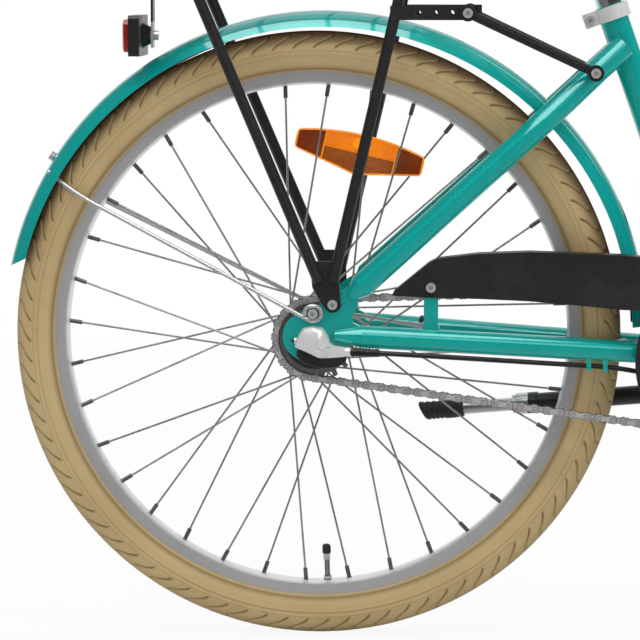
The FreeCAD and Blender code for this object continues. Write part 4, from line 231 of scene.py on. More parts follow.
def putAll(tree, node, values):
    # each socket takes a number, a colour or a link from another node
    for key, value in values.items():
        socket = node.inputs[key]
        if isinstance(value, bpy.types.NodeSocket):
            tree.links.new(value, socket)
        else:
            socket.default_value = (*value, 1.0) if socket.type == "RGBA" else value


def addNode(tree, kind, values=None, **settings):
    node = tree.nodes.new(kind)
    for key, value in settings.items():
        setattr(node, key, value)
    putAll(tree, node, values or {})
    return node


def math2(tree, operation, a, b=0.0):
    return addNode(tree, "ShaderNodeMath", {0: a, 1: b}, operation=operation).outputs[0]


def times(tree, a, b):
    return math2(tree, "MULTIPLY", a, b)


def plus(tree, a, b):
    return math2(tree, "ADD", a, b)


def vector2(tree, operation, a, b=(0, 0, 0)):
    outputs = addNode(tree, "ShaderNodeVectorMath", {0: a, 1: b}, operation=operation).outputs
    return outputs["Value" if operation in ("LENGTH", "DOT_PRODUCT") else "Vector"]


def mixColour(tree, factor, a, b):
    return addNode(tree, "ShaderNodeMix", {0: factor, 6: a, 7: b}, data_type="RGBA").outputs[2]


def mixValue(tree, factor, a, b):
    return addNode(tree, "ShaderNodeMix", {0: factor, 2: a, 3: b}).outputs[0]


def ramp(tree, source, low, high, outLow=0.0, outHigh=1.0):
    values = {"Value": source, "From Min": low, "From Max": high, "To Min": outLow, "To Max": outHigh}
    return addNode(tree, "ShaderNodeMapRange", values, interpolation_type="SMOOTHSTEP").outputs["Result"]


def noiseOf(tree, vector, scale, detail, rough=0.5):
    values = {"Vector": vector, "Scale": scale, "Detail": detail, "Roughness": rough}
    return addNode(tree, "ShaderNodeTexNoise", values).outputs["Fac"]


def axesOf(tree, vector):
    return addNode(tree, "ShaderNodeSeparateXYZ", {0: vector}).outputs


def newGroup(name, inputs, outputs):
    # an empty group, its input sockets with their defaults, and its output node
    group = bpy.data.node_groups.new(name, "ShaderNodeTree")
    kinds = {"v": "NodeSocketVector", "f": "NodeSocketFloat", "c": "NodeSocketColor"}
    for label, kind, default in inputs:
        socket = group.interface.new_socket(name=label, in_out="INPUT", socket_type=kinds[kind])
        if default is not None:
            socket.default_value = default
    for label, kind in outputs:
        group.interface.new_socket(name=label, in_out="OUTPUT", socket_type=kinds[kind])
    return group, group.nodes.new("NodeGroupInput").outputs, group.nodes.new("NodeGroupOutput")


def tintDriftGroup():
    # colour wanders between two tones in soft clouds with finer mottling inside
    group, given, end = newGroup(
        "tintDrift", [("Vector", "v", None), ("First", "c", (1, 1, 1, 1)), ("Second", "c", (0, 0, 0, 1)),
                      ("Scale", "f", 8.0), ("Amount", "f", 0.5)], [("Color", "c"), ("Cloud", "f")])
    broad = noiseOf(group, given["Vector"], given["Scale"], 3.0)
    fine = noiseOf(group, given["Vector"], times(group, given["Scale"], 9.0), 2.0)
    cloud = ramp(group, plus(group, times(group, broad, 0.7), times(group, fine, 0.3)), 0.36, 0.64)
    share = times(group, cloud, given["Amount"])
    putAll(group, end, {"Color": mixColour(group, share, given["First"], given["Second"]), "Cloud": cloud})
    return group


def grainGroup():
    # moulded grain: small rounded cells plus fine noise, as a height and a roughness wobble
    group, given, end = newGroup(
        "mouldedGrain", [("Vector", "v", None), ("Scale", "f", 600.0), ("Cells", "f", 0.5)],
        [("Height", "f"), ("Wobble", "f")])
    where = {"Vector": given["Vector"], "Scale": given["Scale"]}
    cells = addNode(group, "ShaderNodeTexVoronoi", where, feature="SMOOTH_F1").outputs["Distance"]
    noise = noiseOf(group, given["Vector"], times(group, given["Scale"], 1.7), 3.0)
    putAll(group, end, {"Height": mixValue(group, given["Cells"], noise, cells), "Wobble": noise})
    return group


def smudgeGroup():
    # dust and finger marks: soft blotches broken up by a finer noise
    group, given, end = newGroup(
        "smudges", [("Vector", "v", None), ("Scale", "f", 12.0), ("Cover", "f", 0.5)], [("Mask", "f")])
    blot = noiseOf(group, given["Vector"], given["Scale"], 5.0, 0.62)
    fine = noiseOf(group, given["Vector"], times(group, given["Scale"], 14.0), 2.0)
    edge = math2(group, "SUBTRACT", 1.0, given["Cover"])
    rise = math2(group, "SUBTRACT", plus(group, blot, times(group, fine, 0.25)), edge)
    putAll(group, end, {"Mask": ramp(group, rise, 0.0, 0.35)})
    return group


def streakGroup():
    # brushed or drawn metal: noise stretched along one direction of the vector given
    group, given, end = newGroup(
        "drawnStreaks", [("Vector", "v", None), ("Stretch", "v", (1, 1, 1)), ("Scale", "f", 200.0)],
        [("Streak", "f"), ("Height", "f")])
    pulled = vector2(group, "MULTIPLY", given["Vector"], given["Stretch"])
    noise = noiseOf(group, pulled, given["Scale"], 4.0, 0.6)
    putAll(group, end, {"Streak": ramp(group, noise, 0.3, 0.7), "Height": noise})
    return group


def flakeGroup():
    # pearl flakes: tiny cells of random brightness in the paint
    group, given, end = newGroup("pearlFlake", [("Vector", "v", None), ("Scale", "f", 2600.0)], [("Sparkle", "f")])
    where = {"Vector": given["Vector"], "Scale": given["Scale"]}
    cells = addNode(group, "ShaderNodeTexVoronoi", where).outputs["Color"]
    putAll(group, end, {"Sparkle": addNode(group, "ShaderNodeSeparateColor", {"Color": cells}).outputs[0]})
    return group


def wheelSpotGroup():
    # radius from the nearer wheel's axle, distance along the axle and angle round it, from Object coordinates
    group, given, end = newGroup("wheelSpot", [("Vector", "v", None)], [("Radius", "f"), ("Side", "f"), ("Turn", "f")])
    isFront = math2(group, "GREATER_THAN", axesOf(group, given["Vector"])["X"], 0.0)
    axles = {0: isFront, 4: tuple(rearAxle), 5: tuple(frontAxle)}
    centre = addNode(group, "ShaderNodeMix", axles, data_type="VECTOR").outputs[1]
    local = vector2(group, "SUBTRACT", given["Vector"], centre)
    sides = axesOf(group, local)
    putAll(group, end, {
        "Radius": vector2(group, "LENGTH", vector2(group, "MULTIPLY", local, (1, 0, 1))),
        "Side": sides["Y"], "Turn": math2(group, "ARCTAN2", sides["Z"], sides["X"])})
    return group


tintDrift, mouldedGrain, smudges = tintDriftGroup(), grainGroup(), smudgeGroup()
drawnStreaks, pearlFlake, wheelSpot = streakGroup(), flakeGroup(), wheelSpotGroup()
print("node groups built")


# Materials

def newFinish(name):
    finish = bpy.data.materials.new(name)
    finish.use_nodes = True
    tree = finish.node_tree
    return finish, tree, tree.nodes.new("ShaderNodeTexCoord").outputs["Object"]


def dressed(finish, values, bump=None):
    # links and constants go on the shader's own sockets; bump is a height, a strength and a distance
    tree = finish.node_tree
    bsdf = tree.nodes["Principled BSDF"]
    putAll(tree, bsdf, values)
    if bump:
        relief = addNode(tree, "ShaderNodeBump", dict(zip(("Height", "Strength", "Distance"), bump)))
        tree.links.new(relief.outputs["Normal"], bsdf.inputs["Normal"])
    return finish


def attributeOf(tree, name):
    return addNode(tree, "ShaderNodeAttribute", attribute_name=name).outputs["Fac"]


def useGroup(tree, group, vector, **values):
    return addNode(tree, "ShaderNodeGroup", {"Vector": vector, **values}, node_tree=group).outputs


def smudged(tree, place, scale, cover):
    return useGroup(tree, smudges, place, Scale=scale, Cover=cover)["Mask"]


def patchy(tree, mask, amount, tone, dull):
    # one tone with patches of another, as strong as the amount
    return mixColour(tree, times(tree, mask, amount), tone, dull)


def prismGrid(tree, place, scale):
    # square cells of a reflector: the distance from each middle, and a mask of the pits
    values = {"Vector": place, "Scale": scale, "Randomness": 0.0}
    grid = addNode(tree, "ShaderNodeTexVoronoi", values, distance="CHEBYCHEV").outputs["Distance"]
    return grid, ramp(tree, grid, 0.15, 0.65)


paintLook = {"tone": (0.0010, 0.450, 0.402), "deep": (0.0005, 0.372, 0.340), "glint": (0.03, 0.52, 0.47),
             "hollowShade": (0.11, 0.020, 0.014), "metallic": 0.18, "fenderRadius": 0.2875, "rearFenderShift": 0.007}


def hollowSide(tree, place, middle, arcRadius):
    # 1 where the normal points in towards the circle that runs round inside the fender
    local = vector2(tree, "SUBTRACT", place, middle)
    flat = vector2(tree, "MULTIPLY", local, (1, 0, 1))
    above = math2(tree, "SUBTRACT", vector2(tree, "LENGTH", flat), arcRadius)
    rise = vector2(tree, "MULTIPLY", vector2(tree, "NORMALIZE", flat), above)
    outward = vector2(tree, "ADD", rise, vector2(tree, "MULTIPLY", local, (0, 1, 0)))
    return ramp(tree, vector2(tree, "DOT_PRODUCT", outward, place.node.outputs["Normal"]), 0.004, -0.004)


def paintFinish(name, fender=None):
    # pearl teal under clear lacquer; a fender's hollow side is painted shade in dark red-brown
    finish, tree, place = newFinish(name)
    look = paintLook
    drift = useGroup(tree, tintDrift, place, First=look["tone"], Second=look["deep"], Scale=7.0, Amount=0.5)
    glint = ramp(tree, useGroup(tree, pearlFlake, place)["Sparkle"], 0.78, 1.0, 0.0, 0.30)
    colour = mixColour(tree, glint, drift["Color"], look["glint"])
    rough = ramp(tree, smudged(tree, place, 16.0, 0.42), 0.0, 1.0, 0.28, 0.36)
    lacquer = 1.0
    if fender:
        # the hollow side under the fender is darkened to red-brown: painted shade
        hollow = hollowSide(tree, place, *fender)
        colour = mixColour(tree, hollow, colour, look["hollowShade"])
        rough = plus(tree, rough, times(tree, hollow, 0.3))
        lacquer = math2(tree, "SUBTRACT", 1.0, hollow)
    peel = noiseOf(tree, place, 260.0, 1.0)
    return dressed(finish, {
        "Base Color": colour, "Roughness": rough, "Metallic": look["metallic"], "Specular IOR Level": 0.15,
        "Coat Weight": lacquer, "Coat Roughness": 0.035, "Coat IOR": 1.6}, (peel, 0.06, 0.0006))


def metalFinish(name, tone, dull, rough, stretch=(1, 1, 1), scale=240.0, bump=0.05, cover=0.4, metallic=1.0):
    # metal with drawn streaks, dull patches and a fine bump
    finish, tree, place = newFinish(name)
    streak = useGroup(tree, drawnStreaks, place, Stretch=stretch, Scale=scale)
    share = plus(tree, times(tree, streak["Streak"], 0.35), times(tree, smudged(tree, place, 30.0, cover), 0.5))
    return dressed(finish, {
        "Base Color": mixColour(tree, share, tone, dull), "Metallic": metallic,
        "Roughness": ramp(tree, share, 0.0, 1.0, rough, rough + 0.16)}, (streak["Height"], bump, 0.0004))


def plasticFinish(name, tone, second, rough, scale, bump, cells=0.5, cover=0.35):
    # moulded plastic or rubber: grain in the surface, tone drift and a little dust
    finish, tree, place = newFinish(name)
    grain = useGroup(tree, mouldedGrain, place, Scale=scale, Cells=cells)
    drift = useGroup(tree, tintDrift, place, First=tone, Second=second, Scale=14.0, Amount=0.7)
    dusty = patchy(tree, smudged(tree, place, 22.0, cover), 0.08, drift["Color"], (0.2, 0.2, 0.19))
    rough = ramp(tree, grain["Wobble"], 0.3, 0.7, rough - 0.06, rough + 0.08)
    return dressed(finish, {"Base Color": dusty, "Roughness": rough}, (grain["Height"], bump, 0.0005))


vinylLook = {"wornAndShaded": (0.20, 0.105, 0.05), "seam": (0.020, 0.009, 0.004), "thread": (0.42, 0.30, 0.18), "stitch": 0.0052}


def vinylFinish(name, tone, second):
    # grained cover with painted shade in the seam's groove, and a row of pale stitches each side of it
    finish, tree, place = newFinish(name)
    look = vinylLook
    grain = useGroup(tree, mouldedGrain, place, Scale=520.0, Cells=0.75)
    drift = useGroup(tree, tintDrift, place, First=tone, Second=second, Scale=14.0, Amount=0.7)
    wave = math2(tree, "SINE", times(tree, attributeOf(tree, "along"), 2 * math.pi / look["stitch"]))
    stitch = times(tree, attributeOf(tree, "thread"), ramp(tree, wave, -0.35, 0.05))
    wornAndShaded = patchy(tree, smudged(tree, place, 18.0, 0.4), 0.18, drift["Color"], look["wornAndShaded"])
    # painted shade in the sunk seam
    seamShaded = patchy(tree, attributeOf(tree, "seam"), 0.8, wornAndShaded, look["seam"])
    return dressed(finish, {
        "Base Color": mixColour(tree, stitch, seamShaded, look["thread"]),
        "Roughness": ramp(tree, grain["Wobble"], 0.3, 0.7, 0.40, 0.54)},
        (plus(tree, grain["Height"], stitch), 0.32, 0.0005))


tyreLook = {"tan": (0.575, 0.430, 0.215), "second": (0.515, 0.375, 0.180),
            "crown": (0.30, 0.22, 0.11), "cut": (0.13, 0.078, 0.030)}


def tyreFinish(name):
    # tan rubber with painted shade: darker in the tread's cuts, at the rim's edge and towards the crown, fine mould
    # grain
    finish, tree, place = newFinish(name)
    look = tyreLook
    drift = useGroup(tree, tintDrift, place, First=look["tan"], Second=look["second"], Scale=10.0, Amount=0.8)
    # painted shade: the crown is darkened all round the wheel, standing for the mudguard's shadow on it
    wornAndShaded = patchy(tree, attributeOf(tree, "crown"), 0.55, drift["Color"], look["crown"])
    grain = useGroup(tree, mouldedGrain, place, Scale=900.0, Cells=0.3)
    # the cut mask darkens the tread's cuts and the rim's edge: painted shade
    return dressed(finish, {
        "Base Color": patchy(tree, attributeOf(tree, "cut"), 0.66, wornAndShaded, look["cut"]), "Specular IOR Level": 0.3,
        "Roughness": ramp(tree, grain["Wobble"], 0.3, 0.7, 0.58, 0.74)}, (grain["Height"], 0.12, 0.0005))


rimLook = {"tone": (0.56, 0.56, 0.565), "dull": (0.39, 0.39, 0.395),
           "edge": (0.86, 0.86, 0.87), "edgeRadius": (0.2498, 0.2482)}


def rimFinish(name):
    # satin alloy with turning lines round the wheel and a pale band at its inner edge
    finish, tree, place = newFinish(name)
    look = rimLook
    wheel = useGroup(tree, wheelSpot, place)
    lines = {0: times(tree, wheel["Radius"], 60.0), 1: times(tree, wheel["Side"], 60.0), 2: wheel["Turn"]}
    around = addNode(tree, "ShaderNodeCombineXYZ", lines).outputs[0]
    streak = useGroup(tree, drawnStreaks, around, Stretch=(60.0, 30.0, 0.6), Scale=6.0)
    share = plus(tree, times(tree, streak["Streak"], 0.45), times(tree, smudged(tree, place, 12.0, 0.45), 0.35))
    colour = mixColour(tree, share, look["tone"], look["dull"])
    return dressed(finish, {
        "Base Color": patchy(tree, ramp(tree, wheel["Radius"], *look["edgeRadius"]), 0.8, colour, look["edge"]),
        "Roughness": ramp(tree, share, 0.0, 1.0, 0.30, 0.46), "Metallic": 0.35}, (streak["Height"], 0.05, 0.0003))


spokeLook = {"tone": (0.42, 0.41, 0.40), "dull": (0.22, 0.215, 0.21),
             "nipple": (0.15, 0.145, 0.14), "nippleRadius": (0.2352, 0.2360)}


def spokeFinish(name):
    # drawn steel with darker nipples near the rim
    finish, tree, place = newFinish(name)
    look = spokeLook
    marks = smudged(tree, place, 40.0, 0.5)
    nipple = ramp(tree, useGroup(tree, wheelSpot, place)["Radius"], *look["nippleRadius"])
    steel = patchy(tree, marks, 0.7, look["tone"], look["dull"])
    return dressed(finish, {"Base Color": mixColour(tree, nipple, steel, look["nipple"]),
                            "Roughness": ramp(tree, marks, 0.0, 1.0, 0.26, 0.42), "Metallic": 0.55})


linkLook = {"tone": (0.68, 0.66, 0.645), "dull": (0.50, 0.485, 0.47), "oil": (0.075, 0.070, 0.064)}


def chainFinish(name):
    # plated links, bright on their faces and dark round the pins and along the edges: oil, and painted shade between
    # the plates
    finish, tree, place = newFinish(name)
    look = linkLook
    marks = smudged(tree, place, 60.0, 0.5)
    plate = patchy(tree, marks, 0.45, look["tone"], look["dull"])
    return dressed(finish, {"Base Color": patchy(tree, attributeOf(tree, "oil"), 0.86, plate, look["oil"]),
                            "Roughness": ramp(tree, marks, 0.0, 1.0, 0.26, 0.42), "Metallic": 0.4})


housingLook = {"black": (0.019, 0.019, 0.020), "zinc": (0.66, 0.66, 0.65), "dull": (0.45, 0.45, 0.45),
               "strapX": (-0.0030, -0.0026), "bareZ": (0.034, 0.033)}


def tailFinish(name):
    # lamp housing of black plastic on a strap that is black above and bare zinc where it is bolted
    finish, tree, place = newFinish(name)
    look = housingLook
    axes = axesOf(tree, place)
    low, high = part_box("tail_reflector_housing")
    strap = ramp(tree, axes["X"], *(high[0] + x for x in look["strapX"]))
    bare = times(tree, strap, ramp(tree, axes["Z"], *(low[2] + z for z in look["bareZ"])))
    grain = useGroup(tree, mouldedGrain, place, Scale=420.0, Cells=0.5)
    zinc = patchy(tree, smudged(tree, place, 30.0, 0.5), 0.6, look["zinc"], look["dull"])
    return dressed(finish, {
        "Base Color": mixColour(tree, bare, look["black"], zinc), "Metallic": times(tree, bare, 0.5),
        "Roughness": ramp(tree, grain["Wobble"], 0.3, 0.7, 0.30, 0.42)}, (grain["Height"], 0.08, 0.0004))


redLook = {"red": (0.55, 0.012, 0.010), "pit": (0.20, 0.003, 0.003),
           "clear": (0.74, 0.50, 0.47), "faceX": (-0.0012, -0.0018)}


def tailLensFinish(name):
    # red prisms with painted shade in their pits, a little paler on the outer face
    finish, tree, place = newFinish(name)
    look = redLook
    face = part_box("tail_reflector_lens")[0][0]
    clear = ramp(tree, axesOf(tree, place)["X"], *(face + x for x in look["faceX"]))
    grid, pit = prismGrid(tree, place, 450.0)
    red = mixColour(tree, pit, look["red"], look["pit"])
    return dressed(finish, {
        "Base Color": patchy(tree, clear, 0.18, red, look["clear"]), "Roughness": ramp(tree, pit, 0.0, 1.0, 0.12, 0.22),
        "Coat Weight": 0.6, "Coat Roughness": 0.05}, (grid, 0.3, 0.0005))


def lensFinish(name, bright, deep, cells, glow=0.0):
    # cast reflector plastic: fine prism grid under a glossy face, with painted shade in the pits and ribs; the glow
    # stands for light thrown back
    finish, tree, place = newFinish(name)
    grid, pit = prismGrid(tree, place, cells)
    drift = useGroup(tree, tintDrift, place, First=bright, Second=deep, Scale=30.0, Amount=0.4)
    shade = math2(tree, "MAXIMUM", times(tree, pit, 0.35), times(tree, attributeOf(tree, "rib"), 0.75))
    values = {"Base Color": mixColour(tree, shade, drift["Color"], deep),
              "Roughness": ramp(tree, drift["Cloud"], 0.0, 1.0, 0.14, 0.24),
              "Coat Weight": 0.25, "Coat Roughness": 0.06, "Specular IOR Level": 0.3}
    if glow:
        values.update({"Emission Color": drift["Color"], "Emission Strength": glow})
    return dressed(finish, values, (grid, 0.35, 0.0006))


legLook = {"black": (0.018, 0.018, 0.019), "zinc": (0.62, 0.62, 0.61), "dull": (0.40, 0.40, 0.40),
           "bareX": (-0.2925, -0.2935)}


def twoToneLeg(name):
    # the stand's leg: black lacquer near its hinge, bright zinc towards the foot
    finish, tree, place = newFinish(name)
    look = legLook
    bare = ramp(tree, axesOf(tree, place)["X"], *look["bareX"])
    marks = smudged(tree, place, 30.0, 0.5)
    zinc = patchy(tree, marks, 0.6, look["zinc"], look["dull"])
    return dressed(finish, {"Base Color": mixColour(tree, bare, look["black"], zinc), "Metallic": bare,
                            "Roughness": ramp(tree, marks, 0.0, 1.0, 0.30, 0.46)})


framePaint = paintFinish("framePaint")
rearFenderMiddle = rearAxle + np.array([paintLook["rearFenderShift"], 0, 0])
rearFenderPaint = paintFinish("rearFenderPaint", (tuple(rearFenderMiddle), paintLook["fenderRadius"]))
frontFenderPaint = paintFinish("frontFenderPaint", (tuple(frontAxle), paintLook["fenderRadius"]))
tanRubber = tyreFinish("tanRubber")
rimAlloy = rimFinish("rimAlloy")
spokeSteel = spokeFinish("spokeSteel")
chainSteel = metalFinish("chainSteel", (0.26, 0.255, 0.25), (0.15, 0.147, 0.143), 0.27, scale=420.0,
                         bump=0.10, cover=0.55, metallic=0.45)
zincSteel = metalFinish("zincSteel", (0.68, 0.68, 0.67), (0.47, 0.47, 0.46), 0.24, scale=1300.0, metallic=0.5)
castAlloy = metalFinish("castAlloy", (0.88, 0.875, 0.86), (0.74, 0.735, 0.72), 0.30, scale=160.0, cover=0.3,
                        metallic=0.3)
hubAlloy = metalFinish("hubAlloy", (0.62, 0.62, 0.61), (0.44, 0.44, 0.44), 0.26, stretch=(1, 0.05, 1),
                       scale=300.0, metallic=0.55)
barChrome = metalFinish("barChrome", (0.80, 0.80, 0.80), (0.66, 0.66, 0.67), 0.08, scale=60.0, bump=0.01, cover=0.3)
blackCoat = plasticFinish("blackCoat", (0.017, 0.017, 0.018), (0.024, 0.024, 0.025), 0.40, 900.0, 0.10, cells=0.2)
guardPlastic = plasticFinish("guardPlastic", (0.014, 0.014, 0.014), (0.022, 0.022, 0.022), 0.48, 420.0, 0.22, cover=0.4)
blackRubber = plasticFinish("blackRubber", (0.014, 0.014, 0.014), (0.026, 0.025, 0.024), 0.62, 700.0, 0.2)
cableSleeve = plasticFinish("cableSleeve", (0.012, 0.012, 0.012), (0.022, 0.022, 0.022), 0.36, 900.0, 0.06)
# one amber plastic in four tones, painted light and shade: the glowing field, rim, dividers and boss brightest, the
# strip below the fold dimmer, the ends darkest
amberLens = lensFinish("amberLens", (1.0, 0.27, 0.002), (0.50, 0.085, 0.002), 700.0, 0.36)
amberLow = lensFinish("amberLow", (0.56, 0.150, 0.014), (0.17, 0.030, 0.004), 700.0, 0.10)
amberDeep = lensFinish("amberDeep", (0.44, 0.085, 0.008), (0.17, 0.022, 0.003), 700.0)
amberRim = lensFinish("amberRim", (1.0, 0.34, 0.006), (0.85, 0.20, 0.004), 300.0, 0.34)
chainLinks = chainFinish("chainLinks")
tailHousing = tailFinish("tailHousing")
redLens = tailLensFinish("redLens")
saddleVinyl = vinylFinish("saddleVinyl", (0.105, 0.046, 0.019), (0.072, 0.030, 0.012))
gripRubber = plasticFinish("gripRubber", (0.098, 0.043, 0.018), (0.070, 0.029, 0.012), 0.55, 700.0, 0.25)
legFinish = twoToneLeg("legFinish")

finishOf = {
    framePaint: ["head_tube", "upper_tube", "down_tube", "seat_tube", "bottom_bracket_shell", "chainstays", "seatstays",
                 "dropouts", "frame_bridges", "fork"],
    rearFenderPaint: ["rear_fender"], frontFenderPaint: ["front_fender"],
    rimAlloy: ["rear_rim", "front_rim"], spokeSteel: ["rear_spokes", "front_spokes"],
    # the sprocket's dark steel is partly painted shade behind the chain
    chainSteel: ["rear_sprocket"],
    zincSteel: ["front_fender_stays", "frame_bolts", "rear_axle", "front_axle", "saddle_springs", "saddle_frame"],
    castAlloy: ["seat_clamp"], hubAlloy: ["rear_hub_shell", "front_hub_shell", "crank_arms", "chainring"],
    barChrome: ["handlebar", "stem", "seat_post", "headset_nuts", "bearing_cups"],
    blackCoat: ["rack_frame", "rack_struts", "kickstand_bracket", "hub_dust_cap"],
    guardPlastic: ["chain_guard", "shifter_housing", "left_pedal", "right_pedal"],
    tailHousing: ["tail_reflector_housing"], blackRubber: ["twist_sleeve"], legFinish: ["kickstand_leg"],
}
for finish, names in finishOf.items():
    for name in names:
        nodes[name].data.materials.clear()
        nodes[name].data.materials.append(finish)
nodes["rack_frame"].visible_glossy = False  # its mirror image would hide the mudguard's highlights
print("materials on", sum(len(v) for v in finishOf.values()), "nodes")


# Tyres

wheels = (("rear_wheel", rearAxle), ("front_wheel", frontAxle))
tyreSpec = {"ringRadius": 0.2765, "sectionRadius": 0.0235, "wall": 0.0030, "pitches": 87, "cutDepth": 0.0012,
            "cutAt": (-0.095, -0.066, -0.034, 0.0, 0.034, 0.066, 0.095), "sweep": 0.018, "sweepRadius": 0.29,
            "ridge": 0.0008, "blockLift": 0.0013, "step": 0.0006, "ridges": (79.5, 90.5), "lines": (77.4, 88.4),
            "foot": ((0.2612, 0.0150), (0.2590, 0.0112), (0.2565, 0.0108))}


def tyreShell(centre):
    # section angle a from bead to bead, turn t round the wheel: radius = ring + (section - cuts + ridges) cos a,
    # with every cut swept along the wheel in an S from the crown to the shoulder, and each block rising towards its cut
    s = tyreSpec
    half = np.concatenate([np.linspace(0, 72, 17), [74, 76, 77.2, 78.2, 79.5, 81, 83, 86, 88, 89.2, 90.5, 92, 94],
                           np.linspace(98, 121, 4), [124, 127]])
    a = np.radians(np.concatenate([-half[:0:-1], half]))
    deg = np.abs(np.degrees(a))
    cell = np.concatenate([s["cutAt"], np.linspace(0.17, 0.83, 6)])
    turn = ((np.arange(s["pitches"])[:, None] + cell) * 2 * np.pi / s["pitches"]).reshape(-1, 1)
    near = np.tile(np.clip(1 - (cell / s["cutAt"][-1]) ** 2, 0, 1), s["pitches"])[:, None]
    band = plateau(deg, (9, 20), (70.5, 75))
    lift = np.tile(cell % 1.0, s["pitches"])[:, None] * plateau(deg, (14, 30), (62, 78))
    ridges = sum(bell(deg, at, 1.3) for at in s["ridges"])
    sunk = s["cutDepth"] * near * band + s["blockLift"] * lift + s["step"] * (smoothStep(76, 79, deg) + bell(deg, 9.0, 1.5))
    section = s["sectionRadius"] + s["ridge"] * ridges - sunk
    t = turn + s["sweep"] * smoothStep(28, 74, deg) / s["sweepRadius"]
    inner = np.radians([124, 100, 70, 35, 0, -35, -70, -100, -124])
    thin = s["sectionRadius"] - s["wall"]
    footRadius, footSide = np.array(s["foot"]).T
    rows = np.ones((len(turn), 1))
    r = np.concatenate([s["ringRadius"] + section * np.cos(a), rows * footRadius,
                        rows * (s["ringRadius"] + thin * np.cos(inner)), rows * footRadius[::-1]], 1)
    y = np.concatenate([section * np.sin(a), rows * footSide, rows * thin * np.sin(inner), -rows * footSide[::-1]], 1)
    t = np.concatenate([t, np.repeat(t[:, -1:], 3 + len(inner), 1), np.repeat(t[:, :1], 3, 1)], 1)
    shell = gridShell(wheelPoints(centre, r, y, t), closeRows=True, closeCols=True)
    # the cut mask: painted shade in the cuts, deepest towards the shoulder, and at the rim's edge, plus two thin dark
    # lines beside the ridges
    lines = 0.42 * sum(bell(deg, at, 0.9) for at in s["lines"]) + 0.85 * smoothStep(119, 123, deg)
    shade = np.maximum(near ** 1.5 * band * (0.30 + 0.70 * smoothStep(30, 66, deg)), lines)
    # painted shade: darker towards the crown
    crown = np.broadcast_to(1 - smoothStep(10, 62, deg), shade.shape)
    inside = ((0, 0), (0, r.shape[1] - len(a)))
    shell["masks"] = {"cut": np.pad(shade, inside).reshape(-1), "crown": np.pad(crown, inside).reshape(-1)}
    return shell


tubeSpec = {"ringRadius": 0.2745, "radius": 0.0165, "valveDegrees": 2.4, "valveFoot": 0.2470, "stem": 0.0215,
            "base": (0.0045, 0.0034), "thread": (0.00262, 0.00022, 0.00098), "knurl": 0.00018, "knurls": 12,
            "nut": ((0.0002, 0.0040), (0.0004, 0.0046), (0.0028, 0.0046), (0.0032, 0.0038)),
            "collar": ((0.0195, 0.0030), (0.0199, 0.0036), (0.0255, 0.0036), (0.0262, 0.0030)),
            "cap": ((0.0260, 0.0034), (0.0262, 0.0039), (0.0270, 0.0041), (0.0332, 0.0040),
                    (0.0346, 0.0033), (0.0354, 0.0020))}


def tubeShells(centre):
    # inner tube: a plain ring inside the tyre; valve: a turned stem with thread rings and a ribbed cap
    s = tubeSpec
    turn = np.linspace(0, 2 * np.pi, 120, endpoint=False)[:, None]
    side = np.linspace(0, 2 * np.pi, 20, endpoint=False)
    ring = wheelPoints(centre, s["ringRadius"] + s["radius"] * np.cos(side), s["radius"] * np.sin(side), turn)
    angle = math.radians(s["valveDegrees"])
    inward = np.array([-math.sin(angle), 0.0, math.cos(angle)])
    start = centre - inward * s["valveFoot"]
    d = np.linspace(0, s["stem"], 44)
    radius, depth, pitch = s["thread"]
    stem = np.where(d < s["base"][0], s["base"][1], radius + depth * np.sin(d / pitch * 2 * np.pi))
    capLine, capRadius = np.array(s["cap"]).T
    knurl = s["knurl"] * np.cos(np.arange(36) * 2 * np.pi / 36 * s["knurls"])
    return [gridShell(ring, closeRows=True, closeCols=True),
            turned(start, inward, d, stem, 20, paint=2),
            turned(start, inward, *zip(*s["nut"]), 6, paint=1),
            turned(start, inward, *zip(*s["collar"]), 24, paint=1),
            turned(start, inward, capLine, capRadius[:, None] + np.outer([0, 1, 1, 1, 0, 0], knurl), 36)]


for body, centre in wheels:
    label = body.split("_")[0]
    makePiece(label + "Tyre", [tyreShell(centre)], [tanRubber], body, [label + "_tyre"], smooth=60)
    makePiece(label + "InnerTube", tubeShells(centre), [blackRubber, zincSteel, chainSteel], body,
              [label + "_inner_tube"])
print("tyres and tubes made")


# Wheel reflectors

reflectorSpec = {"half": 0.0645, "high": 0.0170, "low": -0.0235, "radius": 0.186, "ribs": 22, "ribDepth": 0.00055,
                 "fold": -0.0022, "corner": 0.0042, "depth": 0.0032, "rim": (0.0014, 0.0019), "rimLift": 0.0008,
                 "ends": 0.55, "divider": (0.553, 0.012), "boss": (-0.003, 0.0070), "rear": 13.0, "front": 150.0,
                 "bossLine": ((0, 0.0045), (0.0001, 0.0054), (0.0046, 0.0054), (0.0052, 0.0048), (0.0052, 0.0030),
                              (0.0046, 0.0028), (0.0046, 0.0006))}


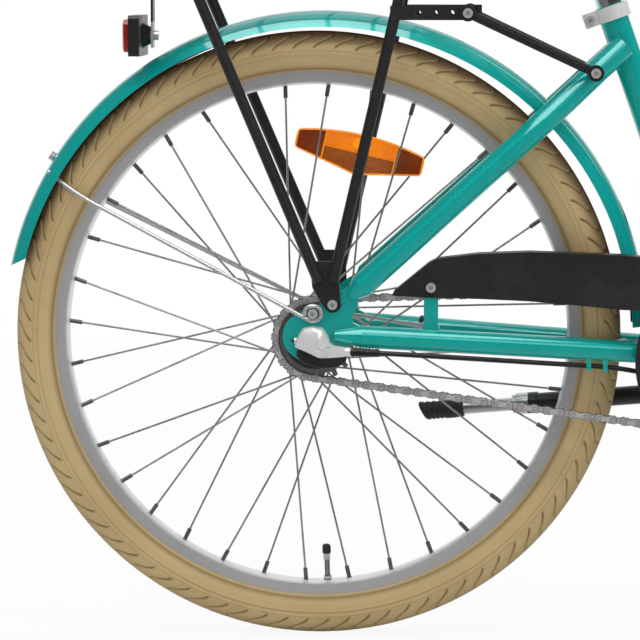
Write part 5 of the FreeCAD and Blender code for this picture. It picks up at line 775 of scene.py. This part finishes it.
def reflectorShells(centre, degrees):
    # u along the length, v from the lower to the upper outline: depth = crowned plate with sawtooth ribs inside
    # a smooth rim; its faces are parted into the field, the two ends, the rim with dividers, and the strip below the fold
    s = reflectorSpec
    u = np.unique(np.concatenate([np.linspace(-1, 1, 61), [-0.99, -0.975, -0.95, 0.95, 0.975, 0.99],
                                  [-0.56, -0.545, 0.545, 0.56]]))
    v = np.linspace(0, 1, s["ribs"] * 4 + 1)
    far = np.abs(u)
    corner = s["corner"] * (1 - np.sqrt(np.clip(1 - (np.clip(far - 0.94, 0, 0.06) / 0.06) ** 2, 0, 1)))
    upper = s["high"] * (1 - 0.50 * u ** 2) - corner
    lower = s["low"] * (1 - 0.58 * smoothStep(0.0, 0.10, far) * np.clip(far - 0.04, 0, None)) + corner
    z = lower[:, None] + (upper - lower)[:, None] * v
    edge = np.minimum(np.minimum(upper[:, None] - z, z - lower[:, None]), (1 - far)[:, None] * s["half"])
    rim = 1 - smoothStep(*s["rim"], edge)
    saw = (v * s["ribs"]) % 1.0 - 1.0
    depth = s["depth"] * (1 - 0.35 * np.abs(z) / 0.019) + (1 - rim) * saw * s["ribDepth"] + rim * s["rimLift"]
    depth *= smoothStep(-0.0001, 0.0012, edge) * 0.85 + 0.15
    spin = math.radians(degrees)
    ahead, up = np.array([[math.cos(spin), 0.0, -math.sin(spin)], [math.sin(spin), 0.0, math.cos(spin)]])
    flat = centre + (u * s["half"])[:, None, None] * ahead + (z + s["radius"])[..., None] * up
    rib = np.tile(0.5 + 0.5 * np.cos(2 * np.pi * v * s["ribs"]), len(u))
    shells = []
    for face in (-1, 1):
        shell = gridShell(flat + (face * depth)[..., None] * np.array([0.0, 1.0, 0.0]))
        verts, quads = shell["verts"], shell["quads"]
        a, b, d = verts[quads[0, :3]]
        if np.cross(b - a, d - a)[1] * face < 0:
            quads = quads[:, ::-1]
        atEdge, along, height = (np.broadcast_to(values, z.shape).reshape(-1)[quads].mean(1)
                                 for values in (edge, u[:, None], z))
        trim = (atEdge < s["rim"][1]) | (np.abs(np.abs(along) - s["divider"][0]) < s["divider"][1])
        kind = np.where(trim, 2, np.where(np.abs(along) > s["ends"], 1, np.where(height < s["fold"], 3, 0)))
        for paint in range(4):
            used, back = np.unique(quads[kind == paint], return_inverse=True)
            masks = {"rib": rib[used] * (paint != 2)}
            shells.append(dict(shell, verts=verts[used], quads=back.reshape(-1, 4), paint=paint, masks=masks))
    boss = centre + up * (s["radius"] + s["boss"][1]) + ahead * s["boss"][0]
    return shells + [turned(boss, (0, face, 0), *zip(*s["bossLine"]), 24, paint=2) for face in (-1.0, 1.0)]


for body, centre in wheels:
    label = body.split("_")[0]
    makePiece(label + "Reflector", reflectorShells(centre, reflectorSpec[label]),
              [amberLens, amberDeep, amberRim, amberLow], body, [body + "_reflector"], smooth=25)
print("wheel reflectors made")


# Saddle

saddleSpec = {"origin": (-0.23984, 0.0, 0.69313), "floor": 0.0753, "back": -0.112, "length": 0.265, "halfWidth": 0.1075,
              "height": 0.058, "endRound": 0.045, "noseDrop": 0.012, "lift": 0.0012, "seam": 0.0012, "channel": 0.0035,
              "seamDegrees": 52, "threadDegrees": (48.7, 55.3),
              "outline": ((0, 0.62), (0.08, 0.93), (0.24, 1), (0.42, 0.80), (0.60, 0.45), (0.80, 0.26), (1, 0.15))}


def saddleShell():
    # s along the length, a round the section: a rounded dome on a tucked-under skirt, with a sewn line
    # that runs round the top edge and a shallow channel down the middle
    g = saddleSpec
    s = np.concatenate([np.linspace(0, 0.04, 9), np.linspace(0.05, 0.95, 73), np.linspace(0.96, 1.0, 9)])
    kernel = np.hanning(9) / np.hanning(9).sum()
    wide = np.convolve(np.pad(np.interp(s, *zip(*g["outline"])), 4, mode="edge"), kernel, "valid")
    gap = np.clip(1 - np.minimum(s, 1 - s) / g["endRound"], 0, 1)
    endDrop = np.maximum(np.sqrt(1 - gap ** 2), 0.02)
    fine = np.arange(46, 58.1, 0.75)
    top = np.unique(np.concatenate([np.linspace(-90, 90, 61), fine, -fine]))
    a = np.radians(np.concatenate([top, np.linspace(97, 263, 13)]))
    deg = np.degrees(a)
    c, n = np.cos(a), np.sin(a)
    over = np.clip(c, 0, None)
    across = np.sign(n) * np.abs(n) ** 0.80
    upper = (c > 0).astype(float)
    side = (g["height"] * (0.38 + 0.10 * wide) * endDrop)[:, None]
    crown = (g["height"] * (0.16 + 0.18 * wide) * endDrop)[:, None]
    floor = (g["floor"] - g["noseDrop"] * np.clip(s - 0.45, 0, None) / 0.55)[:, None]
    seam = bell(np.abs(deg), g["seamDegrees"], 1.6) * upper
    channel = bell(deg, 0, 7.0) * plateau(s, (0.10, 0.22), (0.55, 0.75))[:, None] * upper
    dome = side * (over ** 0.62) ** 0.9 + crown * over ** 2.2
    sunk = g["seam"] * seam * endDrop[:, None] + g["channel"] * channel
    z = np.where(upper > 0, floor + dome - sunk + g["lift"], floor + 0.0005 + 0.0012 * np.clip(1 + c, 0, 1))
    half = (g["halfWidth"] * wide * (0.25 + 0.75 * endDrop))[:, None]
    y = half * across * (1 - 0.010 * seam) * np.where(upper > 0, 1.0, 0.97)
    x = np.broadcast_to((g["back"] + s * g["length"])[:, None], y.shape)
    shell = gridShell(np.array(g["origin"]) + np.stack([x, y, z], -1), closeCols=True, caps=True)
    thread = sum(bell(np.abs(deg), at, 0.8) for at in g["threadDegrees"]) * upper
    shell["masks"] = {key: np.concatenate([np.broadcast_to(values, y.shape).reshape(-1), [0, 0]])
                      for key, values in (("seam", seam), ("thread", thread), ("along", x))}
    return shell


saddle = makePiece("saddleCover", [saddleShell()], [saddleVinyl], "seat", ["saddle_cover"], smooth=60)
print("saddle made")


# Grips

gripSpec = {"tip": (0.11679, 0.30600, 0.93023), "corner": (0.30828, 0.24938, 0.94133), "left": 0.128, "right": 0.075,
            "radius": 0.016, "swell": (0.0008, -0.0006), "ringDepth": 0.0007, "ringPitch": 0.0052,
            "dome": ((-0.0035, 0.0060), (-0.0034, 0.0100), (-0.0028, 0.0132), (-0.0016, 0.0150), (0.0, 0.0156)),
            "flange": ((-0.0044, 0.0180), (-0.0036, 0.0189), (-0.0006, 0.0189), (0.0, 0.0180))}


def gripShell(side, length):
    # radius along the bar: a domed end, a swelling middle ringed with shallow grooves, and a flange
    g = gripSpec
    tip, corner = (np.array(g[key]) * (1, side, 1) for key in ("tip", "corner"))
    (domeAt, dome), (flangeAt, flange) = (np.array(g[key]).T for key in ("dome", "flange"))
    d = np.linspace(0.001, length - 0.0048, 140)
    swell = g["swell"][0] * np.sin(np.pi * d / length) + g["swell"][1]
    ringed = plateau(d, (0.008, 0.012), (length - 0.014, length - 0.010))
    rings = g["ringDepth"] * (0.5 - 0.5 * np.cos(2 * np.pi * d / g["ringPitch"])) * ringed
    r = g["radius"] + swell - rings
    lengths = np.concatenate([domeAt, d, length + flangeAt])
    return turned(tip, unit(corner - tip), lengths, np.concatenate([dome, r, flange]), 40)


makePiece("grips", [gripShell(1, gripSpec["left"]), gripShell(-1, gripSpec["right"])], [gripRubber], "steering",
          ["grips"], smooth=50)
print("grips made")


# Gear cable

cableSpec = {"radius": 0.0025, "steps": 24, "boot": (0.0105, 0.038), "bootRadius": 0.0047, "bootTaper": 0.0009,
             "bootRing": 0.0005, "bootRings": 9, "bootEnd": 0.0026,
             "rear": [(-0.47550, -0.07315, 0.29050), (-0.43750, -0.07315, 0.28950), (-0.26400, -0.04470, 0.27632),
                      (-0.19800, -0.03704, 0.27230), (-0.12500, -0.02600, 0.25250), (-0.07500, -0.02100, 0.25150),
                      (-0.00201, -0.01400, 0.30826), (0.16070, -0.01400, 0.40160), (0.28427, -0.01400, 0.56820)],
             "front": [(0.28455, -0.01400, 0.56861), (0.32402, -0.02200, 0.62582), (0.37982, -0.07000, 0.69532),
                       (0.35915, -0.09000, 0.81057), (0.37735, -0.22896, 0.93031), (0.26245, -0.26293, 0.92365)]}


def routePoints(points, steps):
    # points along the NURBS line that has the route's points as its controls
    curve = bpy.data.curves.new("route", "CURVE")
    curve.dimensions = "3D"
    line = curve.splines.new("NURBS")
    line.points.add(len(points) - 1)
    line.points.foreach_set("co", np.concatenate([np.array(points), np.ones((len(points), 1))], 1).reshape(-1))
    line.order_u = 3
    line.use_endpoint_u = True
    line.resolution_u = steps
    holder = addObject("route", curve)
    bpy.context.view_layer.update()
    mesh = bpy.data.meshes.new_from_object(holder)
    co = np.zeros(len(mesh.vertices) * 3)
    mesh.vertices.foreach_get("co", co)
    bpy.data.objects.remove(holder)
    bpy.data.curves.remove(curve)
    bpy.data.meshes.remove(mesh)
    return co.reshape(-1, 3)


def lengthOf(path):
    return float(runOf(path)[-1])


def bootShell(path):
    # knurled boot at the cable's end: a wider sleeve with rings, drawn along the same line
    s = cableSpec
    begin, end = s["boot"]
    d = np.linspace(begin, end, 61)
    k = (d - begin) / (end - begin)
    line = np.stack([np.interp(d, runOf(path), path[:, axis]) for axis in range(3)], -1)
    rings = (np.sin(k * 2 * np.pi * s["bootRings"]) > 0.2) * (k > 0.1) * (k < 0.9)
    r = s["bootRadius"] - s["bootTaper"] * k - s["bootRing"] * rings
    r[[0, -1]] = s["bootEnd"]
    return pathTube(line, r, 18)


rearPath, frontPath = (routePoints(cableSpec[key], cableSpec["steps"]) for key in ("rear", "front"))
rearCablePiece = makePiece("gearCable", [pathTube(rearPath, cableSpec["radius"]), bootShell(rearPath)], [cableSleeve],
                           "frame", ["shift_cable"])
frontCablePiece = makePiece("gearCableLoop", [pathTube(frontPath, cableSpec["radius"])], [cableSleeve], None,
                            ["shift_cable_front"])
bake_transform(frontCablePiece)
print("cables", round(lengthOf(rearPath), 3), round(lengthOf(frontPath), 3))


# Chain

chainSpec = {"pitch": 0.0127, "ringTeeth": 36, "sprocketTeeth": 19, "links": 92, "line": -0.046, "height": 0.0096,
             "thick": 0.0013, "innerHalf": 0.00175, "gap": 0.00015, "pinRadius": 0.0021,
             "pinReach": 0.0006, "rollerRadius": 0.00385}


def chainPins():
    # pin k lies k + 1/2 pitches along the closed path: over the top, round the chainring, back underneath
    # and round the sprocket
    s = chainSpec
    span = crankAxle - rearAxle
    far = np.linalg.norm(span)
    small, large = (s["pitch"] / 2 / math.sin(math.pi / s[key]) for key in ("sprocketTeeth", "ringTeeth"))
    tilt, lean = math.asin(span[2] / far), math.asin((large - small) / far)
    run = far * math.cos(lean) / s["pitch"]
    wrapped = (0.5 + lean / np.pi) * s["ringTeeth"]
    top, bottom = np.pi / 2 + tilt + lean, -np.pi / 2 + tilt - lean
    k = np.arange(s["links"]) + 0.5
    onRing, below, onSprocket = k - run, k - run - wrapped, k - 2 * run - wrapped
    ringTurn = top - onRing * 2 * np.pi / s["ringTeeth"]
    sprocketTurn = bottom - onSprocket * 2 * np.pi / s["sprocketTeeth"]
    back = far * math.cos(lean) - below * s["pitch"]
    where = [k < run, onRing < wrapped, below < run]
    x, z = (np.select(where, [small * wave(top) + k * s["pitch"] * wave(tilt + lean), offset + large * wave(ringTurn),
                              small * wave(bottom) + back * wave(tilt - lean)], small * wave(sprocketTurn))
            for wave, offset in ((np.cos, span[0]), (np.sin, span[2])))
    return np.stack([rearAxle[0] + x, np.full(len(k), s["line"]), rearAxle[2] + z], -1)


def linkPlate(low, high, height):
    # outline with two round ends and a drawn-in waist, shrunk towards the line between its pins row by row
    s = chainSpec
    end, pitch = height / 2, s["pitch"]
    arc = np.radians(np.linspace(-55, 55, 5))
    waistX, waistZ = np.array([0.66, 0.5, 0.34]) * pitch, np.array([0.64, 0.54, 0.64]) * end
    x = np.concatenate([pitch + end * np.cos(arc), waistX, -end * np.cos(arc), waistX[::-1]])
    z = np.concatenate([end * np.sin(arc), waistZ, end * np.sin(arc[::-1]), -waistZ])
    axis = np.clip(x, 0, pitch)
    shrink = np.array([1, 1, 0.86, 0.56])[:, None]
    depth = np.array([low, high - math.copysign(0.00025, high), high, high])
    points = np.stack([axis + shrink * (x - axis), np.repeat(depth[:, None], len(x), 1), shrink * z], -1)
    shell = gridShell(points, closeCols=True, caps=True)
    # oil and painted shade: darkest on the plate's edge wall, fading to none across its face
    shell["masks"] = {"oil": np.concatenate([np.repeat([1.0, 0.95, 0.50, 0.05], len(x)), [0.95, 0.0]])}
    return shell


def crossRound(x, low, high, radius, tip, around, oil):
    # pin head or roller: a short turned bar across the chain with its outer edge drawn in
    line = np.array([low, high - math.copysign(0.0002, high), high])
    shell = turned((x, 0.0, 0.0), np.array([0.0, 1.0, 0.0]), line, [radius, radius, radius * tip], around)
    shell["masks"] = {"oil": np.concatenate([np.repeat(oil, around), [oil[0], oil[2]]])}
    return shell


def chainShells():
    # inner links with rollers on the even pins, outer links with pin heads on the odd ones
    s = chainSpec
    pins = chainPins()
    along = unit(np.roll(pins, -1, axis=0) - pins)
    innerHigh = s["innerHalf"] + s["thick"]
    outerLow = innerHigh + s["gap"]
    outerHigh = outerLow + s["thick"]
    inner, outer = [], []
    for side in (-1, 1):
        inner.append(linkPlate(side * s["innerHalf"], side * innerHigh, s["height"]))
        outer.append(linkPlate(side * outerLow, side * outerHigh, s["height"]))
        for x in (0.0, s["pitch"]):
            pinHigh = outerHigh + s["pinReach"]
            outer.append(crossRound(x, side * outerHigh, side * pinHigh, s["pinRadius"], 0.55, 10, [1.0, 1.0, 0.15]))
    for x in (0.0, s["pitch"]):
        # the rollers between the inner plates carry painted shade
        inner.append(crossRound(x, -s["innerHalf"], s["innerHalf"], s["rollerRadius"], 1.0, 12, [0.5, 0.2, 0.5]))
    return [copies(shell, pins[first::2], along[first::2]) for first, link in ((0, inner), (1, outer)) for shell in link]


driveChain = makePiece("driveChain", chainShells(), [chainLinks], "frame", ["chain"], smooth=30)
print("chain of", chainSpec["links"], "links made,", len(driveChain.data.polygons), "faces")


# Coaster brake lever

leverSpec = {"inner": 0.0414, "thick": 0.003, "hub": 0.018, "x": (0.006, 0.022, 0.038, 0.060, 0.085, 0.105, 0.1095),
             "z": (0.007, 0.0125, 0.0140, 0.0108, 0.0066, 0.0034, 0.0027),
             "half": (0.0085, 0.0040, 0.0022, 0.0018, 0.0018, 0.0032, 0.0020),
             "clip": (0.105, 0.0576, 0.0004), "stay": (0.9913, -0.1165, -0.0603), "clipRadius": 0.0125, "clipLength": 0.010,
             "clipRib": 0.0007, "boss": ((0, 0.0045), (0.0005, 0.005), (0.004, 0.005), (0.0045, 0.0045))}


def leverShells():
    # strip whose height follows a table along a smooth line, a washer on the axle and a ribbed clip round the stay
    s = leverSpec
    x = np.linspace(s["x"][0], s["x"][-1], 40)
    blur = np.array([0.25, 0.5, 0.25])
    z, half = (np.convolve(np.pad(np.interp(x, s["x"], s[key]), 1, mode="edge"), blur, "valid") for key in ("z", "half"))
    depth = s["inner"] + s["thick"] * np.array([0, 0.2, 0.8, 1, 1, 0.8, 0.2, 0])
    edge = np.array([-0.8, -1, -1, -0.8, 0.8, 1, 1, 0.8])
    rows = np.broadcast_arrays(x[:, None], depth, z[:, None] + half[:, None] * edge)
    strip = rearAxle + np.stack(rows, -1)
    across = np.array([0.0, 1.0, 0.0])
    stay, middle = np.array(s["stay"]), rearAxle + np.array(s["clip"])
    ribs = np.linspace(0, 1, 21)
    clip = s["clipRadius"] - s["clipRib"] * (0.5 + 0.5 * np.cos(ribs * 8 * np.pi))
    outer = (middle[0], s["inner"] + s["thick"], rearAxle[2] + s["z"][5])
    return [gridShell(strip, closeCols=True, caps=True),
            turned(rearAxle + across * s["inner"], across, np.array([0, 0.15, 0.85, 1]) * s["thick"],
                   s["hub"] * np.array([0.97, 1, 1, 0.97]), 48),
            turned(middle - stay * s["clipLength"] / 2, stay, ribs * s["clipLength"], clip, 40, paint=1),
            turned(outer, across, *zip(*s["boss"]), 20, paint=1)]


makePiece("brakeLever", leverShells(), [zincSteel, blackCoat], "frame", ["brake_arm"], smooth=30)
print("brake lever made")


# Gear joint cover on the axle

coverSpec = {"start": 0.06615, "middle": (0.005, -0.006), "arm": 0.0115, "rise": 0.0100, "ridge": 0.0058, "base": 0.0105,
             "baseMiddle": (0.008, -0.0175),
             "edge": [(-18.0, -4.8), (-13.9, 6.8), (-9.8, 13.0), (-0.3, 15.0), (9.3, 13.0), (14.7, 4.8), (16.9, -2.4),
                      (20.3, -3.8), (31.2, -5.2), (32.6, -6.5), (31.9, -15.0), (14.8, -16.4), (7.9, -15.7), (-5.8, -9.6),
                      (-16.7, -5.5)],
             "baseEdge": [(-15.0, -7.0), (31.0, -12.0), (33.0, -19.0), (24.0, -25.0), (8.0, -26.0), (-10.0, -21.0),
                          (-17.0, -14.0)],
             "screwAt": (-0.0172, -0.0042, 0.0006), "fittingAt": (0.0300, -0.0070, -0.0095),
             "screwHead": ((-0.001, 0.0030), (0.0004, 0.0030), (0.0012, 0.0028), (0.0014, 0.0022)),
             "screwTip": ((0.0010, 0.0014), (0.0012, 0.0019), (0.0034, 0.0019), (0.0040, 0.0013)),
             "fitting": ((0, 0.0038), (0.0004, 0.0044), (0.0058, 0.0044), (0.0064, 0.0036))}


def coverHeight(x, z):
    # a flat arm and a step up to a dome with an upright ridge, which falls away to the screw and over the top
    s = coverSpec
    dome = 1 - smoothStep(s["ridge"] + 0.0012, s["ridge"] + 0.0100, x - 0.2 * z)
    fall = 0.30 * np.clip(s["ridge"] - x, 0, None) + 0.0045 * np.clip((z + 0.002) / 0.015, 0, 1) ** 2
    slant = 0.10 * np.clip(-0.008 - z, 0, None)
    return s["arm"] + dome * (s["rise"] - fall) - slant


def baseHeight(x, z):
    # the base is flat
    return np.full_like(x, coverSpec["base"])


def coverShells():
    # the cover's outline and its black base's as mounds, a screw at one end and the cable's fitting at the other
    s = coverSpec
    edge, baseEdge = (np.array(s[key]) / 1000 for key in ("edge", "baseEdge"))
    face = rearAxle - np.array([0, s["start"], 0])
    screw, fitting = face + np.array(s["screwAt"]), face + np.array(s["fittingAt"])
    return [mound(roundedLoop(edge, 110, 2), np.array(s["middle"]), s["start"], coverHeight),
            mound(roundedLoop(baseEdge, 70, 2), np.array(s["baseMiddle"]), s["start"], baseHeight, paint=1),
            turned(screw, (-1.0, 0, 0), *zip(*s["screwHead"]), 18),
            turned(screw, (-1.0, 0, 0), *zip(*s["screwTip"]), 12, paint=1),
            turned(fitting, (1.0, 0, -0.03), *zip(*s["fitting"]), 22)]


makePiece("gearJointCover", coverShells(), [castAlloy, guardPlastic], "frame", ["shift_joint_cover"],
          smooth=38)
print("gear joint cover made")


# Rear mudguard's wire stays

staySpec = {"radius": 0.0021, "eye": (-0.0004, -0.0689, 0.0270), "loop": (0.0082, 0.0074), "loopTurn": 318.0,
            "angle": 149.5, "kneeRadius": 0.2830, "kneeY": -0.0265, "cornerRadius": 0.3110, "cornerY": -0.0170,
            "cornerShift": 0.007, "bends": (0.030, 0.008)}


def stayPath():
    # wire bent into an open eye, straight up to the tyre, round under the mudguard and back down the other side
    s = staySpec
    ray = np.array([math.cos(math.radians(s["angle"])), 0.0, math.sin(math.radians(s["angle"]))])
    eye = rearAxle + np.array(s["eye"])
    knee = rearAxle + ray * s["kneeRadius"] + np.array([0, s["kneeY"], 0])
    corner = rearAxle + ray * s["cornerRadius"] + np.array([s["cornerShift"], s["cornerY"], 0])
    wide, tall = s["loop"]
    inward = eye - knee
    meet = math.atan2(-inward[0] / wide, inward[2] / tall)
    turn = meet + np.radians(np.linspace(s["loopTurn"], 0, 37))
    loop = eye + np.stack([wide * np.cos(turn), np.zeros(len(turn)), tall * np.sin(turn)], -1)
    run = loop[-1] + np.linspace(0.04, 0.85, 22)[:, None] * (knee - loop[-1])
    rest = roundedLine([run[-1], knee, corner, corner * (1, 0, 1)], s["bends"])
    near = np.concatenate([loop, run[:-1], rest])
    return np.concatenate([near, near[-2::-1] * (1, -1, 1)])


makePiece("rearMudguardStays", [pathTube(stayPath(), staySpec["radius"], 12)], [zincSteel], "frame",
          ["rear_fender_stays"], smooth=50)
print("mudguard stays made")


# Stand's rubber foot

footSpec = {"pivot": (-0.12996, 0.028, 0.242), "along": (-0.990, 0.105, -0.0961), "begin": 0.2296, "end": 0.2720,
            "radius": 0.0094, "slope": 0.42, "ribs": (0.2475, 0.249), "ribsEnd": (0.266, 0.2685), "ribPitch": 0.0052,
            "ribDepth": 0.0009, "mouth": 0.0066, "taper": 0.0008, "tip": (0.0093, 0.0088, 0.0078, 0.0066)}


def footShell():
    # rings along the leg's line; the end is cut on a slope and ringed with grip ribs
    s = footSpec
    along = unit(s["along"])
    d = np.concatenate([s["begin"] + np.array([0, 0.0001, 0.0012]), np.linspace(s["begin"] + 0.003, s["end"] - 0.0035, 44),
                        s["end"] - np.array([0.0022, 0.001, 0.0002, 0])])
    wave = 0.5 - 0.5 * np.cos(2 * np.pi * (d - s["ribs"][0]) / s["ribPitch"])
    r = s["radius"] - s["ribDepth"] * wave * plateau(d, s["ribs"], s["ribsEnd"])
    r -= s["taper"] * smoothStep(s["begin"] + 0.012, s["begin"], d)
    r[0] = s["mouth"]
    r[-4:] = s["tip"]
    first = unit(np.cross(along, (0.0, 1.0, 0.0)))
    ring = circle(first, np.cross(along, first), 36)
    lift = r[:, None] * ring[:, 2]
    shift = s["slope"] * lift * smoothStep(s["begin"] + 0.016, s["end"], d)[:, None]
    points = np.array(s["pivot"]) + (d[:, None] + shift)[..., None] * along + r[:, None, None] * ring
    return gridShell(points, closeCols=True, caps=True)


makePiece("standFoot", [footShell()], [blackRubber], "kickstand", ["kickstand_foot"], smooth=45)
print("stand's foot made")


# Pedal and tail reflectors

pedalSpec = {"right_pedal": (-0.06796, -0.124, 0.13031), "left_pedal": (-0.12075, 0.124, 0.42969),
             "half": (0.0250, 0.0068), "depths": (0.0441, 0.0452, 0.0457, 0.0457)}
tailSpec = {"half": (0.0366, 0.0166), "depths": (-0.0032, 0.0016, 0.0028, 0.0034)}


def lensTile(centre, side, half, depths):
    # rounded rectangle raised along x in rows: a wall, a soft edge and a nearly flat face
    turn = np.linspace(0, 2 * np.pi, 40, endpoint=False)
    y, z = (size * np.sign(wave) * np.abs(wave) ** 0.28 for size, wave in zip(half, (np.cos(turn), np.sin(turn))))
    shrink = np.array([1, 1, 0.95, 0.6])[:, None]
    grid = np.stack([np.repeat(side * np.array(depths)[:, None], len(turn), 1), shrink * y, shrink * z], -1)
    return gridShell(np.array(centre) + grid, closeCols=True, caps=True)


for body in ("right_pedal", "left_pedal"):
    tiles = [lensTile(pedalSpec[body], side, pedalSpec["half"], pedalSpec["depths"]) for side in (-1, 1)]
    makePiece(body.split("_")[0] + "PedalReflectors", tiles, [amberLens], body, ())
tailLow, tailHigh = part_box("tail_reflector_lens")
tailFace = (tailLow[0], (tailLow[1] + tailHigh[1]) / 2, (tailLow[2] + tailHigh[2]) / 2)
makePiece("tailLens", [lensTile(tailFace, -1, tailSpec["half"], tailSpec["depths"])], [redLens], "frame",
          ["tail_reflector_lens"])
print("pedal and tail reflectors made")


# Stage, light and camera

stageSpec = {"floorSize": 30.0, "floorTone": (0.86, 0.86, 0.86), "ambient": 0.66, "lampPower": 3.2, "lampLength": 0.55,
             "lampWidth": 0.24, "lampsMiddle": (-0.30, 0.0, 0.45), "distance": 2.2, "rows": (-10.0, 24.0),
             "angles": (-26.0, -8.0, 10.0, 28.0, 46.0, 64.0), "floorRoom": (0.7, -0.7, 0.18), "skyRoom": (0.97, 0.55, 0.06),
             "panelTurns": ((-27.5, -24.9), (-23.9, -16.5), (-15.6, -2.8), (-1.9, 6.4), (7.3, 14.5)), "panelSoft": 0.004,
             "panelRows": ((0.14, 0.76, 1.0), (-0.84, 0.02, 4.3)), "rowSoft": 0.03,
             "edgeTurns": (15.0, 64.0), "edgeRows": ((0.40, 0.52), (-0.86, -0.70)), "edgeSoft": 0.02, "edgeLight": 1.6}
cameraSpec = {"azimuth": 3.3, "elevation": 6.0, "distance": 3.3, "pixelsPerMetre": 1007.0, "aim": (0.0025, 0.0, 0.0135),
              "sensor": 36.0, "photoWidth": 640.0, "clipEnd": 60.0}


def between(tree, value, low, high, soft):
    return times(tree, ramp(tree, value, low - soft, low + soft), ramp(tree, value, high + soft, high - soft))


def total(tree, values):
    return functools.reduce(lambda a, b: plus(tree, a, b), values)


def rayKinds(tree):
    # rays that see the stage straight or through glass, and rays that see it in a mirror
    path = tree.nodes.new("ShaderNodeLightPath").outputs
    return math2(tree, "MAXIMUM", path["Is Camera Ray"], path["Is Transmission Ray"]), path["Is Glossy Ray"]


def ceilingPanels(tree, look):
    # softboxes that only mirrors see: two rows overhead cut by narrow gaps along the bicycle, and two lines ahead of them
    s = stageSpec
    axes = axesOf(tree, look)
    turn = math2(tree, "ARCTAN2", axes["X"], axes["Z"])
    panels = total(tree, [between(tree, turn, *np.radians(span), s["panelSoft"]) for span in s["panelTurns"]])
    rows = total(tree, [times(tree, between(tree, axes["Y"], low, high, s["rowSoft"]), strength)
                        for low, high, strength in s["panelRows"]])
    edge = between(tree, turn, *np.radians(s["edgeTurns"]), s["rowSoft"])
    lines = total(tree, [between(tree, axes["Y"], *span, s["edgeSoft"]) for span in s["edgeRows"]])
    return plus(tree, times(tree, panels, rows), times(tree, times(tree, edge, lines), s["edgeLight"]))


def roomLight(tree, look, low, high, dim):
    # what mirrors see: white behind the bicycle, a dim room on the viewer's side
    return ramp(tree, axesOf(tree, look)["Y"], low, high, 1.0, dim)


def buildFloor():
    # pale floor that fades to white away from the bicycle
    s = stageSpec
    h = s["floorSize"] / 2
    corner = np.array([[[-h, -h, 0], [-h, h, 0]], [[h, -h, 0], [h, h, 0]]], float)
    finish, tree, place = newFinish("paleFloor")
    dressed(finish, {"Base Color": s["floorTone"], "Roughness": 0.9, "Specular IOR Level": 0.0})
    seen, glossy = rayKinds(tree)
    fade = times(tree, seen, ramp(tree, vector2(tree, "LENGTH", place), 1.2, 3.2, 0.90, 1.0))
    strength = mixValue(tree, glossy, 1.0, roomLight(tree, place, *s["floorRoom"]))
    glow = addNode(tree, "ShaderNodeEmission", {"Strength": strength})
    mix = addNode(tree, "ShaderNodeMixShader", {0: math2(tree, "MAXIMUM", fade, glossy),
                                                1: tree.nodes["Principled BSDF"].outputs[0], 2: glow.outputs[0]})
    tree.links.new(mix.outputs[0], tree.nodes["Material Output"].inputs["Surface"])
    floor = makePiece("floor", [gridShell(corner)], [finish])
    if floor.data.polygons[0].normal.z < 0:
        floor.data.flip_normals()


def buildWorld():
    # even white light, with the room and the softboxes for mirror rays only
    world = bpy.data.worlds.new("studio")
    bpy.context.scene.world = world
    world.use_nodes = True
    tree = world.node_tree
    look = tree.nodes.new("ShaderNodeTexCoord").outputs["Generated"]
    seen, glossy = rayKinds(tree)
    shine = plus(tree, roomLight(tree, look, *stageSpec["skyRoom"]), ceilingPanels(tree, look))
    mirror = mixValue(tree, glossy, stageSpec["ambient"], shine)
    putAll(tree, tree.nodes["Background"], {"Color": (1, 1, 1), "Strength": mixValue(tree, seen, mirror, 1.0)})


def buildLamps():
    # two rows of softboxes on an arc over the bicycle, from above the rear wheel to its front
    s = stageSpec
    for row in s["rows"]:
        for angle in s["angles"]:
            lean, turn = math.radians(row), math.radians(angle)
            away = Vector((math.sin(turn), -math.sin(lean) * math.cos(turn), math.cos(lean) * math.cos(turn)))
            lamp = bpy.data.lights.new("softbox", "AREA")
            lamp.shape = "RECTANGLE"
            lamp.size, lamp.size_y = s["lampLength"], s["lampWidth"]
            lamp.energy = s["lampPower"]
            holder = addObject("softbox", lamp)
            holder.visible_glossy = False
            holder.location = Vector(s["lampsMiddle"]) + away * s["distance"]
            holder.rotation_euler = away.to_track_quat("Z", "Y").to_euler()


def buildCamera():
    # the photo's view: a pixel's size at the rear axle fixes the lens
    c = cameraSpec
    az, el = math.radians(c["azimuth"]), math.radians(c["elevation"])
    back = Vector((math.sin(az) * math.cos(el), -math.cos(az) * math.cos(el), math.sin(el)))
    lens = bpy.data.cameras.new("camera")
    lens.sensor_fit = "HORIZONTAL"
    lens.sensor_width = c["sensor"]
    lens.lens = c["sensor"] * c["pixelsPerMetre"] * c["distance"] / c["photoWidth"]
    lens.clip_end = c["clipEnd"]
    holder = addObject("camera", lens)
    holder.location = Vector(rearAxle) + Vector(c["aim"]) + back * c["distance"]
    holder.rotation_euler = back.to_track_quat("Z", "Y").to_euler()
    bpy.context.scene.camera = holder


buildFloor()
buildWorld()
buildLamps()
buildCamera()
bpy.context.scene.view_settings.view_transform = "Standard"
print("stage set")
